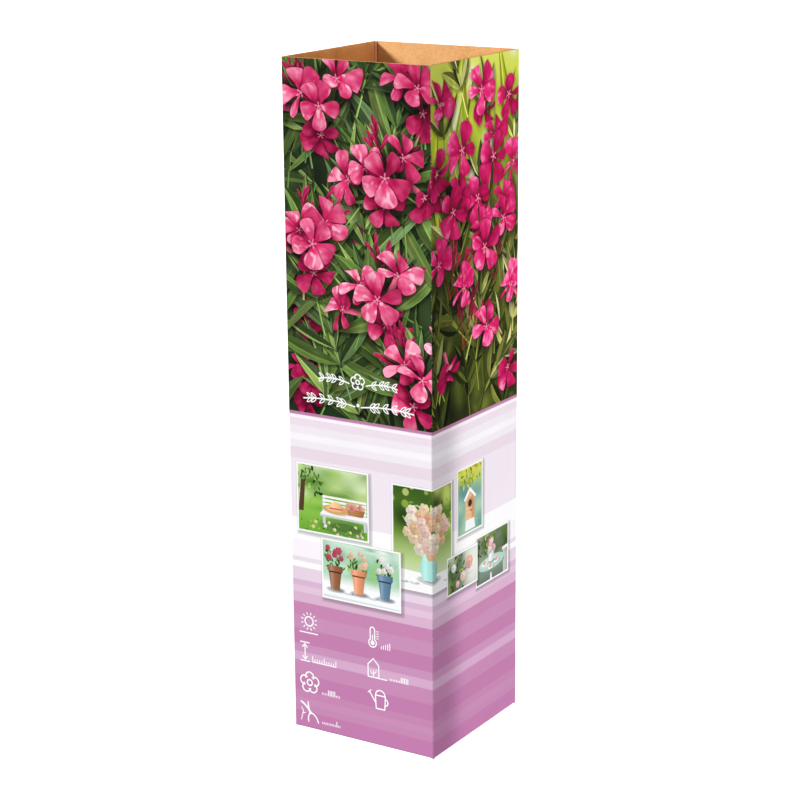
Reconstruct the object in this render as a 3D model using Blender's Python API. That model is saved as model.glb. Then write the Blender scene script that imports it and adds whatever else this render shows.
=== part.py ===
# A tall open-topped carton for a potted plant, folded from one sheet of fine corrugated board.
# Four walls stand round a square, a glued seam closes them at one corner, and the bottom is a
# snap lock: a notched back flap, two side flaps under it, and a front flap whose tongue comes
# up through the notch and rests on the back flap.
# Metres, +Z up. The origin is the middle of the underside, and the front wall faces -Y.

import math

import bmesh
import bpy

CARTON_WIDTH = 0.100  # outside, and the same both ways
CARTON_HEIGHT = 0.411
BOARD = 0.0015  # thickness of the corrugated board
FOLD_RADIUS = 0.0012  # outside of the fold at each corner
FOLD_STEPS = 4  # straight steps in one wall's half of a corner fold
GAP = 0.0003  # between neighbouring solids

SEAM_WIDTH = 0.025  # the glued strip behind the right wall
SEAM_BOARD = 0.0012  # its board is crushed by the glue press
SEAM_START = 0.010  # its lower end, above the bottom flaps
SEAM_TOP_GAP = 0.006  # from its upper end to the rim
SEAM_TAPER = 0.007  # how far its free edge is cut back at each end

BACK_FLAP_DEPTH = 0.056
NOTCH_WIDTH = 0.032
NOTCH_DEPTH = 0.018

SIDE_FLAP_EDGE = 0.019  # from the middle of the carton to a side flap's free edge
SIDE_FLAP_TAPER = 0.003  # how far its ends draw in near the fold
SIDE_FLAP_FRONT = -0.012  # the ends of its free edge, along Y
SIDE_FLAP_BACK = 0.017

LOCK_FLAP_EDGE = -0.014  # where the locking flap's slanted front ends, along Y
LOCK_FLAP_TAPER = 0.003
TONGUE_WIDTH = 0.028
TONGUE_ROOT = -0.004  # where the tongue starts to rise, along Y
TONGUE_BEND = 0.0085  # where it lies level again, along Y
TONGUE_TIP = 0.027
TIP_RADIUS = 0.007
TIP_STEPS = 5

HALF = CARTON_WIDTH / 2
WALL_INSIDE = HALF - BOARD  # inner face of a wall
ROOM = WALL_INSIDE - GAP  # how far the flaps reach from the middle
LAYER = BOARD + GAP  # one bottom flap and the gap above it

BOARD_INSIDE = (0.48, 0.15, 0.036)
PRINT_LILAC = (0.55, 0.21, 0.42)
PRINT_PINK = (0.60, 0.26, 0.48)
PLAIN_LINER = (0.82, 0.72, 0.78)


def clear_scene():
    for obj in list(bpy.data.objects):
        bpy.data.objects.remove(obj, do_unlink=True)


def new_material(name, color, roughness):
    material = bpy.data.materials.new(name)
    material.diffuse_color = (*color, 1.0)
    material.use_nodes = True
    shader = material.node_tree.nodes["Principled BSDF"]
    shader.inputs["Base Color"].default_value = (*color, 1.0)
    shader.inputs["Roughness"].default_value = roughness
    shader.inputs["Metallic"].default_value = 0.0
    return material


def outline_curve(name, points, thickness):
    """A flat board cut to the outline, half its thickness to each side of its own XY plane."""
    curve = bpy.data.curves.new(name, "CURVE")
    curve.dimensions = "2D"
    curve.fill_mode = "BOTH"
    curve.extrude = thickness / 2
    spline = curve.splines.new("POLY")
    spline.points.add(len(points) - 1)
    for spline_point, (x, y) in zip(spline.points, points):
        spline_point.co = (x, y, 0.0, 1.0)
    spline.use_cyclic_u = True
    return curve


def add_object(name, data, material, collection, location=(0, 0, 0), rotation=(0, 0, 0)):
    obj = bpy.data.objects.new(name, data)
    obj.location = location
    obj.rotation_euler = rotation
    collection.objects.link(obj)
    if not data.materials:
        data.materials.append(None)
    obj.material_slots[0].link = "OBJECT"
    obj.material_slots[0].material = material
    return obj


def as_mesh(obj):
    """Replaces a curve object by a welded mesh object with the same name, place and material."""
    bpy.context.view_layer.update()
    graph = bpy.context.evaluated_depsgraph_get()
    mesh = bpy.data.meshes.new_from_object(obj.evaluated_get(graph))
    name, matrix = obj.name, obj.matrix_world.copy()
    material, collection = obj.material_slots[0].material, obj.users_collection[0]
    bpy.data.objects.remove(obj, do_unlink=True)
    shape = bmesh.new()
    shape.from_mesh(mesh)
    bmesh.ops.remove_doubles(shape, verts=shape.verts, dist=1e-6)
    bmesh.ops.recalc_face_normals(shape, faces=shape.faces)
    shape.to_mesh(mesh)
    shape.free()
    mesh_obj = add_object(name, mesh, material, collection)
    mesh_obj.matrix_world = matrix
    return mesh_obj


def wall_outline():
    """Plan of the front wall: a board whose mitred ends share the corner folds with its
    neighbours, each end GAP / 2 short of the corner's diagonal."""
    short_of_diagonal = GAP / math.sqrt(2)
    first_angle = -math.pi / 2
    last_angle = -math.pi / 4 - math.asin(GAP / 2 / FOLD_RADIUS)
    centre = HALF - FOLD_RADIUS
    fold = []
    for step in range(FOLD_STEPS + 1):
        angle = first_angle + (last_angle - first_angle) * step / FOLD_STEPS
        x = centre + FOLD_RADIUS * math.cos(angle)
        y = -centre + FOLD_RADIUS * math.sin(angle)
        fold.append((x, y))
    right_half = fold + [(WALL_INSIDE - short_of_diagonal, -WALL_INSIDE)]
    left_half = [(-x, y) for x, y in reversed(right_half)]
    return left_half + right_half


def make_walls(collection):
    curve = outline_curve("wall", wall_outline(), CARTON_HEIGHT)
    walls = (
        ("front_wall", PRINT_LILAC),
        ("right_wall", PRINT_PINK),
        ("back_wall", PRINT_LILAC),
        ("left_wall", PRINT_PINK),
    )
    for quarter, (name, color) in enumerate(walls):
        add_object(
            name,
            curve,
            new_material(name, color, 0.35),
            collection,
            location=(0, 0, CARTON_HEIGHT / 2),
            rotation=(0, 0, quarter * math.pi / 2),
        )


def make_seam_flap(collection):
    """The strip folded from the back wall and glued behind the right wall."""
    top = CARTON_HEIGHT - SEAM_TOP_GAP
    free_edge = ROOM - SEAM_WIDTH
    points = [
        (ROOM, SEAM_START),
        (ROOM, top),
        (free_edge, top - SEAM_TAPER),
        (free_edge, SEAM_START + SEAM_TAPER),
    ]
    add_object(
        "seam_flap",
        outline_curve("seam_flap", points, SEAM_BOARD),
        new_material("seam_flap", BOARD_INSIDE, 0.9),
        collection,
        location=(ROOM - SEAM_BOARD / 2, 0, 0),
        rotation=(math.pi / 2, 0, math.pi / 2),
    )


def make_back_flap(collection):
    front = ROOM - BACK_FLAP_DEPTH
    notch = NOTCH_WIDTH / 2
    points = [
        (-ROOM, ROOM),
        (-ROOM, front),
        (-notch, front),
        (-notch, front + NOTCH_DEPTH),
        (notch, front + NOTCH_DEPTH),
        (notch, front),
        (ROOM, front),
        (ROOM, ROOM),
    ]
    add_object(
        "back_flap",
        outline_curve("back_flap", points, BOARD),
        new_material("back_flap", BOARD_INSIDE, 0.9),
        collection,
        location=(0, 0, 2 * LAYER + BOARD / 2),
    )


def make_side_flaps(collection):
    right = [
        (ROOM, -ROOM + SIDE_FLAP_TAPER),
        (ROOM, ROOM - SIDE_FLAP_TAPER),
        (SIDE_FLAP_EDGE, SIDE_FLAP_BACK),
        (SIDE_FLAP_EDGE, SIDE_FLAP_FRONT),
    ]
    for name, side in (("right_flap", 1), ("left_flap", -1)):
        points = [(side * x, y) for x, y in right]
        add_object(
            name,
            outline_curve(name, points, BOARD),
            new_material(name, PLAIN_LINER, 0.6),
            collection,
            location=(0, 0, LAYER + BOARD / 2),
        )


def round_tongue_tip(obj):
    """Rounds the tongue's two corners, whose edges run along Z at its tip."""
    shape = bmesh.new()
    shape.from_mesh(obj.data)
    shape.transform(obj.matrix_world)
    at_tip = [
        edge
        for edge in shape.edges
        if all(vert.co.y > TONGUE_TIP - GAP for vert in edge.verts)
        and abs(edge.verts[0].co.x - edge.verts[1].co.x) < GAP
    ]
    bmesh.ops.bevel(
        shape,
        geom=at_tip,
        offset=TIP_RADIUS,
        offset_type="OFFSET",
        segments=TIP_STEPS,
        profile=0.5,
        affect="EDGES",
        material=-1,
    )
    shape.transform(obj.matrix_world.inverted())
    shape.to_mesh(obj.data)
    shape.free()


def make_lock_flap(collection):
    """The front flap and its tongue, which climbs through the notch onto the back flap."""
    material = new_material("lock_flap", PLAIN_LINER, 0.6)
    half_tongue = TONGUE_WIDTH / 2
    plate_points = [
        (-ROOM, -ROOM),
        (ROOM, -ROOM),
        (ROOM - LOCK_FLAP_TAPER, LOCK_FLAP_EDGE),
        (half_tongue, TONGUE_ROOT),
        (-half_tongue, TONGUE_ROOT),
        (-ROOM + LOCK_FLAP_TAPER, LOCK_FLAP_EDGE),
    ]
    plate = add_object(
        "lock_flap",
        outline_curve("lock_flap", plate_points, BOARD),
        material,
        collection,
        location=(0, 0, BOARD / 2),
    )
    lies_at = 3 * LAYER
    underside = [
        (LOCK_FLAP_EDGE, 0),
        (TONGUE_ROOT, 0),
        (TONGUE_BEND, lies_at),
        (TONGUE_TIP, lies_at),
    ]
    upper_side = [(y, z + BOARD) for y, z in reversed(underside)]
    tongue = add_object(
        "tongue",
        outline_curve("tongue", underside + upper_side, TONGUE_WIDTH),
        material,
        collection,
        rotation=(math.pi / 2, 0, math.pi / 2),
    )
    plate, tongue = as_mesh(plate), as_mesh(tongue)
    round_tongue_tip(tongue)
    join = plate.modifiers.new("tongue", "BOOLEAN")
    join.operation = "UNION"
    join.solver = "EXACT"
    join.object = tongue
    bpy.context.view_layer.update()
    graph = bpy.context.evaluated_depsgraph_get()
    joined = bpy.data.meshes.new_from_object(plate.evaluated_get(graph))
    plate.modifiers.clear()
    plate.data = joined
    bpy.data.objects.remove(tongue, do_unlink=True)


def main():
    clear_scene()
    collection = bpy.data.collections.new("plant_carton")
    bpy.context.scene.collection.children.link(collection)
    make_walls(collection)
    make_seam_flap(collection)
    make_back_flap(collection)
    make_side_flaps(collection)
    make_lock_flap(collection)


main()
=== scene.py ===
import math
import random
from functools import partial, reduce

import bmesh
import bpy
import numpy as np
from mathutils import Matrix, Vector
from mathutils.bvhtree import BVHTree
from mathutils.geometry import convex_hull_2d, delaunay_2d_cdt


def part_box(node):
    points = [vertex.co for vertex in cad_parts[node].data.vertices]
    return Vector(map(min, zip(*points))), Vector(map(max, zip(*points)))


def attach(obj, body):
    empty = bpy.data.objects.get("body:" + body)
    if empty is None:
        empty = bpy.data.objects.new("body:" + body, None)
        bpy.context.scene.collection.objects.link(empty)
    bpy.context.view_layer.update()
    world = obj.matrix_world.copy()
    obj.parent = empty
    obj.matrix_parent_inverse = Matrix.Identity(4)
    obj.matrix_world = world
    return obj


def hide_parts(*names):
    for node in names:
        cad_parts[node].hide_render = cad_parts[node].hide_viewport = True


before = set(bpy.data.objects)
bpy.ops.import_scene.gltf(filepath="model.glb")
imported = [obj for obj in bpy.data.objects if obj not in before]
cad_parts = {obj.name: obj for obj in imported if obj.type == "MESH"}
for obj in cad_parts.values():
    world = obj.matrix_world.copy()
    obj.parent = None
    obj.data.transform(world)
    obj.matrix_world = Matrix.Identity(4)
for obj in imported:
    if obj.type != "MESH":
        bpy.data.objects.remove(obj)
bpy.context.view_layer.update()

# The carton is one sheet of corrugated board: a printed liner, flutes and a brown liner.
# The print is laid out flat in millimetres, around the carton from its left front corner and up
# from its base, and the sheet is then folded round the walls.

mm = 0.001
carton = {
    "half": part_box("right_wall")[1].x / mm,  # from the middle to the outside of a wall
    "height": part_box("front_wall")[1].z / mm,
    "board": (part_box("right_wall")[1].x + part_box("front_wall")[1].y) / mm,
    "foldRadius": 1.2,  # outside of each fold
    "foldSteps": 5,  # straight steps in half a corner fold
    "liner": 0.2,  # thickness of the printed liner and of the brown one
    "underFold": 0.6,  # how far the printed liner goes on under the base
    "slit": 0.12,  # cut between a corner and the base fold beside it
}
side = 2 * carton["half"]
around = 4 * side
walls = ["front", "right", "back", "left"]


# small helpers for node trees

def addNode(tree, kind, inputs=None, **settings):
    node = tree.nodes.new(kind)
    for name, value in settings.items():
        setattr(node, name, value)
    for name, value in (inputs or {}).items():
        if isinstance(value, bpy.types.NodeSocket):
            tree.links.new(value, node.inputs[name])
        else:
            node.inputs[name].default_value = value
    return node


def maths(tree, operation, *values):
    return addNode(tree, "ShaderNodeMath", dict(enumerate(values)), operation=operation).outputs[0]


def plus(tree, *values):
    return reduce(partial(maths, tree, "ADD"), values)


def times(tree, *values):
    return reduce(partial(maths, tree, "MULTIPLY"), values)


def minus(tree, first, second):
    return maths(tree, "SUBTRACT", first, second)


def absolute(tree, value):
    return maths(tree, "ABSOLUTE", value)


# The sum of several values, each times its own weight.
def weighted(tree, *pairs):
    return plus(tree, *[times(tree, value, weight) for value, weight in pairs])


def between(tree, value, low, high, newLow=0.0, newHigh=1.0):
    limits = {"From Min": low, "From Max": high, "To Min": newLow, "To Max": newHigh}
    inputs = {"Value": value, **limits}
    return addNode(tree, "ShaderNodeMapRange", inputs, interpolation_type="SMOOTHSTEP").outputs[0]


def mixColours(tree, share, first, second, blend="MIX"):
    node = addNode(tree, "ShaderNodeMix", data_type="RGBA", blend_type=blend)
    for socket, value in ((0, share), (6, first), (7, second)):
        if isinstance(value, bpy.types.NodeSocket):
            tree.links.new(value, node.inputs[socket])
        else:
            node.inputs[socket].default_value = (*value, 1.0) if socket else value
    return node.outputs[2]


def tinted(tree, colour, by):
    return mixColours(tree, 1.0, colour, by, "MULTIPLY")


# Lays tints over a colour, each as far as its mask times its share says.
def washed(tree, colour, *washes):
    for mask, share, tint in washes:
        colour = mixColours(tree, times(tree, mask, share), colour, tint)
    return colour


def grey(tree, level):
    inputs = {name: level for name in ("Red", "Green", "Blue")}
    return addNode(tree, "ShaderNodeCombineColor", inputs).outputs[0]


def noiseAt(tree, vector, scale, detail, roughness=0.5):
    inputs = {"Vector": vector, "Scale": scale, "Detail": detail, "Roughness": roughness}
    return addNode(tree, "ShaderNodeTexNoise", inputs).outputs["Fac"]


def vectorOf(tree, x, y, z):
    return addNode(tree, "ShaderNodeCombineXYZ", {"X": x, "Y": y, "Z": z}).outputs[0]


def partsOf(tree, vector):
    return [*addNode(tree, "ShaderNodeSeparateXYZ", {"Vector": vector}).outputs]


def rampOf(tree, value, stops):
    node = addNode(tree, "ShaderNodeValToRGB", {"Fac": value})
    elements = node.color_ramp.elements
    while len(elements) < len(stops):
        elements.new(0.5)
    for element, (position, colour) in zip(elements, stops):
        element.position = position
        element.color = (*inkOf(*colour), 1.0)
    return node.outputs["Color"]


# The linear colour for a screen colour given as 0 to 255.
def inkOf(red, green, blue):
    levels = [value / 255 for value in (red, green, blue)]
    return np.array([v / 12.92 if v <= 0.04045 else ((v + 0.055) / 1.055) ** 2.4 for v in levels])


# laying out the print

printed = []  # every printed shape, the lowest first
looseSpots = []  # extra points for the soft backgrounds


def anticlockwise(outline):
    outline = np.array(outline, float)
    x, z = outline.T
    area = np.sum(x * np.roll(z, -1) - np.roll(x, -1) * z)
    return outline if area > 0 else outline[::-1]


# A shape hides what lies under it. Its paint gives a colour at each point, its place gives the
# three numbers that its material draws by, and it shows only inside its window.
def addShape(outline, paint, surface="flat", place=None, window=None, lines=()):
    printed.append({
        "outline": anticlockwise(outline), "paint": paint, "surface": surface, "place": place,
        "window": window, "lines": [np.array(line, float) for line in lines], "veil": False,
        "evenInk": surface != "flat" or getattr(paint, "even", False),
    })


# A veil tints what lies under it. Its paint gives a colour, and how much of it, at each point.
def addVeil(outline, paint, window, lines):
    addShape(outline, paint, window=window, lines=lines)
    printed[-1]["veil"] = True


def even(colour):
    def paint(at):
        return np.tile(colour, (len(at), 1))

    paint.even = True
    return paint


def boxOutline(left, low, right, high):
    return [(left, low), (right, low), (right, high), (left, high)]


def roundOutline(x, z, radius, steps, tall=1.0):
    turns = [2 * math.pi * step / steps for step in range(steps)]
    return [(x + radius * math.cos(turn), z + tall * radius * math.sin(turn)) for turn in turns]


def rotation(angle):
    return np.array([[math.cos(angle), -math.sin(angle)], [math.sin(angle), math.cos(angle)]])


# A closed curve through the points, with a few steps between each two.
def smoothLoop(points, steps):
    points = np.array(points, float)
    curve = []
    for index in range(len(points)):
        a, b, c, d = (points[(index + shift) % len(points)] for shift in (-1, 0, 1, 2))
        for step in range(steps):
            t = step / steps
            curve.append(0.5 * (
                2 * b + (c - a) * t + (2 * a - 5 * b + 4 * c - d) * t**2
                + (3 * b - a - 3 * c + d) * t**3
            ))
    return np.array(curve)


def grown(outline, spread):
    before, after = outline - np.roll(outline, 1, axis=0), np.roll(outline, -1, axis=0) - outline
    outward = np.zeros_like(outline)
    for edge in (before, after):
        length = np.maximum(np.linalg.norm(edge, axis=1), 1e-6)
        outward += np.stack([edge[:, 1], -edge[:, 0]], 1) / length[:, None]
    length = np.maximum(np.linalg.norm(outward, axis=1), 0.5)
    return outline + spread * outward / length[:, None]


# How far each point lies outside a closed outline.
def farFrom(outline, at):
    start, step = outline, np.roll(outline, -1, axis=0) - outline
    apart = at[:, None] - start
    share = ((apart * step).sum(2) / np.maximum((step * step).sum(1), 1e-9)).clip(0, 1)
    far = np.linalg.norm(apart - share[:, :, None] * step, axis=2).min(1)
    rises = np.where(np.abs(step[:, 1]) < 1e-9, 1e-9, step[:, 1])
    above = apart[:, :, 1] >= 0
    crosses = (above != (apart[:, :, 1] - step[:, 1] >= 0)) & (
        apart[:, :, 0] < step[:, 0] * apart[:, :, 1] / rises
    )
    far[crosses.sum(1) % 2 == 1] = 0.0
    return far


def addShadow(outline, shift, spread, strength, window, colour=(0.0, 0.0, 0.0), cast=False):
    inner = anticlockwise(outline) + np.array(shift)
    tone = np.array(colour)

    def paint(at):
        cover = strength * (1 - farFrom(inner, at) / spread).clip(0, 1)
        return np.tile(tone, (len(at), 1)), cover

    addVeil(grown(inner, spread), paint, window, [np.vstack([inner, inner[:1]])] if cast else [])


def addStroke(points, width, paint, window=None):
    points = [np.array(point, float) for point in points]
    for first, last in zip(points, points[1:]):
        along = (last - first) / max(np.linalg.norm(last - first), 1e-6)
        aside = np.array([-along[1], along[0]]) * width / 2
        outline = [first - aside, last - aside, last + aside, first + aside]
        addShape(outline, paint, window=window)
    for point in points:
        addShape(roundOutline(*point, width / 2, 8), paint, window=window)


def scatterSpots(window, spacing, dice):
    left, low, right, high = window
    columns, rows = int((right - left) / spacing), int((high - low) / spacing)
    for column in range(columns):
        for row in range(rows):
            x = left + (column + dice.uniform(0.2, 0.8)) * (right - left) / columns
            z = low + (row + dice.uniform(0.2, 0.8)) * (high - low) / rows
            looseSpots.append((x, z))


# Soft blobs of colour over a background that changes with height.
def blurred(window, heights, blobs):
    low, high = window[1], window[3]
    levels = [level for level, colour in heights]
    colours = np.array([inkOf(*colour) for level, colour in heights])
    made = []
    for x, z, wide, tall, turn, colour, strength in blobs:
        size = np.array([wide, tall])
        made.append((np.array([x, z]), rotation(-turn), size, inkOf(*colour), strength))

    def paint(at):
        share = (at[:, 1] - low) / (high - low)
        tone = np.stack([np.interp(share, levels, colours[:, channel]) for channel in range(3)], 1)
        for middle, turned, size, colour, strength in made:
            reach = ((at - middle) @ turned.T) / size
            cover = strength * np.exp(-(reach**2).sum(1))
            tone += (colour - tone) * cover[:, None]
        return tone

    return paint


# plants, drawn from their own local lengths

# a petal is narrow at the throat, and one side of its blunt end reaches out further
petalEdge = [
    (0.02, -0.045), (0.30, -0.13), (0.58, -0.27), (0.84, -0.30), (0.97, -0.16), (1.02, 0.06),
    (0.98, 0.27), (0.84, 0.38), (0.58, 0.31), (0.28, 0.15), (0.02, 0.045),
]
budEdge = [
    (0.0, -0.05), (0.35, -0.12), (0.72, -0.13), (1.0, 0.01), (0.74, 0.11), (0.35, 0.10), (0.0, 0.05),
]
lamp = np.array([-0.42, 0.68, 0.60])  # where the light on the plants comes from: right, up, outwards


# Where a petal's points lie in the picture, and how far they stand out of it. The petal leaves
# the throat steeply, curls back towards its tip, and turns about its own length.
def bentPetal(shape, at):
    heading, size, cup, curl, twist, tilt, tiltTo = shape
    u, v = np.array(at, float).T
    steps = np.linspace(0, 1.1, 23)
    rise = cup * (1 - steps) - curl * steps**2
    out, lift = (np.cumsum(np.append(0, 0.05 * part(rise[:-1]))) for part in (np.cos, np.sin))
    lift = np.interp(u, steps, lift) + v * math.sin(twist) + 0.5 * v**2
    points = np.stack([np.interp(u, steps, out), v * math.cos(twist)], 1)
    points = points @ rotation(heading - tiltTo).T
    lean = points[:, 0] * math.cos(tilt) + lift * math.sin(tilt)
    lift = lift * math.cos(tilt) - points[:, 0] * math.sin(tilt)
    flat = np.stack([lean, points[:, 1]], 1) @ rotation(tiltTo).T
    return size * np.hstack([flat, lift[:, None]])


def litBy(bend, u, v):
    a, b, c = bend([(u, v), (u + 0.05, v), (u, v + 0.05)])
    facing = np.cross(b - a, c - a)
    facing /= max(np.linalg.norm(facing), 1e-9)
    behind = facing[2] < 0
    return (0.62 if behind else 0.52) + 0.62 * max(float(facing @ lamp) * (-1 if behind else 1), 0)


def crossesItself(outline):
    start, step = outline, np.roll(outline, -1, axis=0) - outline
    apart = start[None] - start[:, None]
    turned = step[:, None, 0] * step[None, :, 1] - step[:, None, 1] * step[None, :, 0]
    turned = np.where(np.abs(turned) < 1e-9, 1e-9, turned)
    one = (apart[..., 0] * step[None, :, 1] - apart[..., 1] * step[None, :, 0]) / turned
    two = (apart[..., 0] * step[:, None, 1] - apart[..., 1] * step[:, None, 0]) / turned
    hits = (one > 1e-6) & (one < 1 - 1e-6) & (two > 1e-6) & (two < 1 - 1e-6)
    return hits.any()


def hullOf(outline):
    return outline[convex_hull_2d([Vector(point) for point in outline])]


def fitted(known, wanted):
    fit = np.linalg.lstsq(np.hstack([known, np.ones((len(known), 1))]), wanted, rcond=None)[0]
    return lambda at: at @ fit[:-1] + fit[-1]


def addPetal(x, z, bend, tint, seed, dice, window, surface, shadow):
    edge = np.array(petalEdge) * (1, dice.uniform(0.92, 1.26))
    edge += [(dice.gauss(0, 0.014), dice.gauss(0, 0.018)) for corner in edge]
    local = smoothLoop(edge, 2)
    drawn = bend(local)[:, :2] + (x, z)
    toLocal = fitted(drawn, local)
    samples = [(0.3, 0.0), (0.95, 0.0), (0.65, -0.2), (0.65, 0.22)]
    light = fitted(np.array(samples), np.array([litBy(bend, *sample) for sample in samples]))

    def paint(at):
        return tint * light(toLocal(at)).clip(0.3, 1.3)[:, None]

    def place(at):
        return np.hstack([toLocal(at), np.full((len(at), 1), seed)])

    if crossesItself(drawn):
        drawn = hullOf(drawn)
    if shadow:
        addShadow(drawn[::2], (0.25, -0.5), shadow, 0.45, window, (0.05, 0.0, 0.01))
    addShape(drawn, paint, surface, place, window)


# Five petals round a throat, the furthest away first.
def addFlower(x, z, size, turn, tilt, tiltTo, tint, window, dice, surface, shade=0.72):
    petals = []
    for number in range(5):
        heading = turn + number * 2 * math.pi / 5 + dice.uniform(-0.16, 0.16)
        bend = partial(bentPetal, (
            heading, size * dice.uniform(0.9, 1.08), dice.uniform(0.35, 0.75), dice.uniform(0.1, 0.9),
            dice.gauss(0.32, 0.2), tilt, tiltTo,
        ))
        petals.append((float(bend([(0.7, 0.0)])[0][2]), number, bend))
    base = np.array([x, z])
    flat = rotation(tiltTo) @ np.diag([max(math.cos(tilt), 0.3), 1.0]) @ rotation(-tiltTo)
    whole = np.array(roundOutline(0, 0, 0.72 * size, 11)) @ flat.T + base
    addShadow(whole, (0.9, -2.4), 0.42 * size, shade, window)
    if tilt > 0.75:
        foot = base - 0.75 * size * np.array([math.cos(tiltTo), math.sin(tiltTo)])
        addStem([base, (base + foot) / 2, foot], 0.24 * size, tint * inkOf(206, 90, 120), window, 3)
    for depth, number, bend in sorted(petals, key=lambda petal: petal[0]):
        lit = tint * dice.uniform(0.92, 1.06)
        addPetal(x, z, bend, lit, dice.uniform(0, 90), dice, window, surface, 0.09 * size)
    if tilt > 1.0:
        return
    ring = np.array(roundOutline(0, 0, 0.10 * size, 10)) @ flat.T + base
    addShape(ring, even(tint * inkOf(140, 10, 56)), window=window)
    for number in range(5):
        heading = turn + (number + 0.5) * 2 * math.pi / 5
        tooth = [(0.02, -0.02), (0.15, -0.035), (0.20, 0.0), (0.15, 0.035), (0.02, 0.02)]
        outline = (size * np.array(tooth)) @ (flat @ rotation(heading)).T + base
        addShape(outline, even(tint * inkOf(240, 120, 160)), window=window)
    spot = np.array(roundOutline(0, 0, 0.03 * size, 6)) @ flat.T + base
    addShape(spot, even(inkOf(236, 196, 150)), window=window)


def addBud(x, z, length, heading, tint, window, seed):
    matrix = rotation(heading) * length
    back = np.linalg.inv(matrix)

    def place(at):
        return np.hstack([(at - (x, z)) @ back.T, np.full((len(at), 1), seed)])

    addShape(smoothLoop(budEdge, 2) @ matrix.T + (x, z), even(tint), "bud", place, window)


def addStem(points, width, tint, window, seed):
    points = np.array(points, float)
    for number in range(len(points) - 1):
        start, step = points[number], points[number + 1] - points[number]
        length = np.linalg.norm(step)
        matrix = np.stack([step, np.array([-step[1], step[0]]) / length * width / 2], 1)
        back = np.linalg.inv(matrix)

        def place(at, start=start, back=back, seed=seed + number):
            return np.hstack([(at - start) @ back.T, np.full((len(at), 1), seed)])

        outline = np.array([(0, -1), (1.03, -0.9), (1.03, 0.9), (0, 1)]) @ matrix.T + start
        addShape(outline, even(tint), "stem", place, window)


leafSteps = np.linspace(0, 1, 9)


def leafWidth(t):
    return np.sin(math.pi * t.clip(0, 1) ** 0.8) ** 0.85


# A lance-shaped leaf, bent along a parabola, whose two halves take the light differently.
def addLeaf(x, z, heading, length, halfWidth, bend, lit, dim, window, seed, shadow):
    root, turned = np.array([x, z]), rotation(heading)
    halfWidth = np.array(halfWidth)

    def middleOf(t):
        return 4 * bend * length * t * (1 - t)

    def edge(hand):
        width = halfWidth[0 if hand > 0 else 1] * leafWidth(leafSteps)
        local = np.stack([leafSteps * length, middleOf(leafSteps) + hand * width], 1)
        return local @ turned.T + root

    def place(at):
        along, across = ((at - root) @ turned).T
        t = along / length
        apart = across - middleOf(t)
        width = np.where(apart > 0, halfWidth[0], halfWidth[1]) * leafWidth(t)
        return np.stack([t, (apart / np.maximum(width, 0.15)).clip(-1, 1), np.full(len(t), seed)], 1)

    left, right, rib = edge(1), edge(-1), edge(0)
    if shadow:
        addShadow(np.vstack([right[::2], left[-3:0:-2]]), (0.7, -1.4), 1.8, shadow, window)
    addShape(np.vstack([rib, left[-2:0:-1]]), even(lit), "leaf", place, window)
    addShape(np.vstack([right, rib[-2:0:-1]]), even(dim), "leaf", place, window)


# the stripes round the carton's lower half, given by the height of each one's top

stripes = {
    "softEdge": 0.35,
    "tops": [
        (202.3, (190, 130, 168)), (200.4, (254, 246, 253)), (198.3, (238, 224, 236)),
        (193.7, (243, 235, 243)), (188.8, (250, 245, 251)), (184.7, (243, 236, 244)),
        (180.3, (235, 220, 232)), (173.3, (242, 232, 242)), (136.2, (254, 253, 254)),
        (122.1, (251, 245, 251)), (111.2, (236, 224, 232)), (108.4, (254, 253, 255)),
        (104.6, (232, 214, 231)), (96.5, (219, 184, 212)), (92.8, (229, 198, 221)),
        (88.4, (220, 181, 209)), (82.1, (201, 137, 180)), (73.7, (203, 146, 187)),
        (64.7, (197, 130, 177)), (55.0, (203, 149, 189)), (49.8, (216, 173, 206)),
        (44.0, (202, 141, 184)), (34.6, (196, 128, 176)), (24.3, (200, 138, 181)),
        (19.4, (203, 144, 186)), (15.0, (200, 140, 183)), (10.7, (197, 127, 176)),
    ],
}


def addStripes():
    heights, tones = [-10.0], [inkOf(*stripes["tops"][-1][1])]
    for (top, above), (nextTop, below) in reversed(list(zip(stripes["tops"], stripes["tops"][1:]))):
        heights += [nextTop - stripes["softEdge"], nextTop + stripes["softEdge"]]
        tones += [inkOf(*below), inkOf(*above)]
    tones = np.array(tones)

    def paint(at):
        return np.stack([np.interp(at[:, 1], heights, tones[:, channel]) for channel in range(3)], 1)

    lines = [[(0, height), (around, height)] for height in heights[1:]]
    addShape(boxOutline(-1, -3, around + 1, stripes["tops"][0][0]), paint, lines=lines)


# the garden pictures on the upper half of each wall

pictureLow = stripes["tops"][0][0]
gardenGreens = {
    "gap": [(28, 34, 18), (40, 52, 27), (54, 68, 36), (20, 25, 14), (66, 82, 42)],
    "far": [(72, 94, 50), (104, 132, 68), (52, 70, 38), (124, 150, 86)],
    "leaf": [(88, 118, 54), (116, 148, 74), (76, 102, 56), (144, 170, 92), (100, 130, 82)],
    "olive": [
        (106, 118, 44), (148, 156, 70), (66, 78, 26), (194, 198, 108), (124, 132, 62), (212, 214, 144),
    ],
    "lime": [
        (214, 222, 74), (186, 200, 34), (242, 242, 172), (160, 182, 24), (238, 234, 208), (206, 216, 50),
        (134, 160, 22), (250, 250, 224),
    ],
    "blade": [(190, 206, 52), (160, 182, 30), (208, 218, 72), (136, 162, 30), (222, 228, 122)],
    "moss": [(46, 56, 14), (100, 110, 42), (68, 80, 26), (24, 30, 10), (150, 158, 68)],
}


def tonesOf(kind, dice, light):
    return inkOf(*dice.choice(gardenGreens[kind])) * light * dice.uniform(0.75, 1.2)


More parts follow.
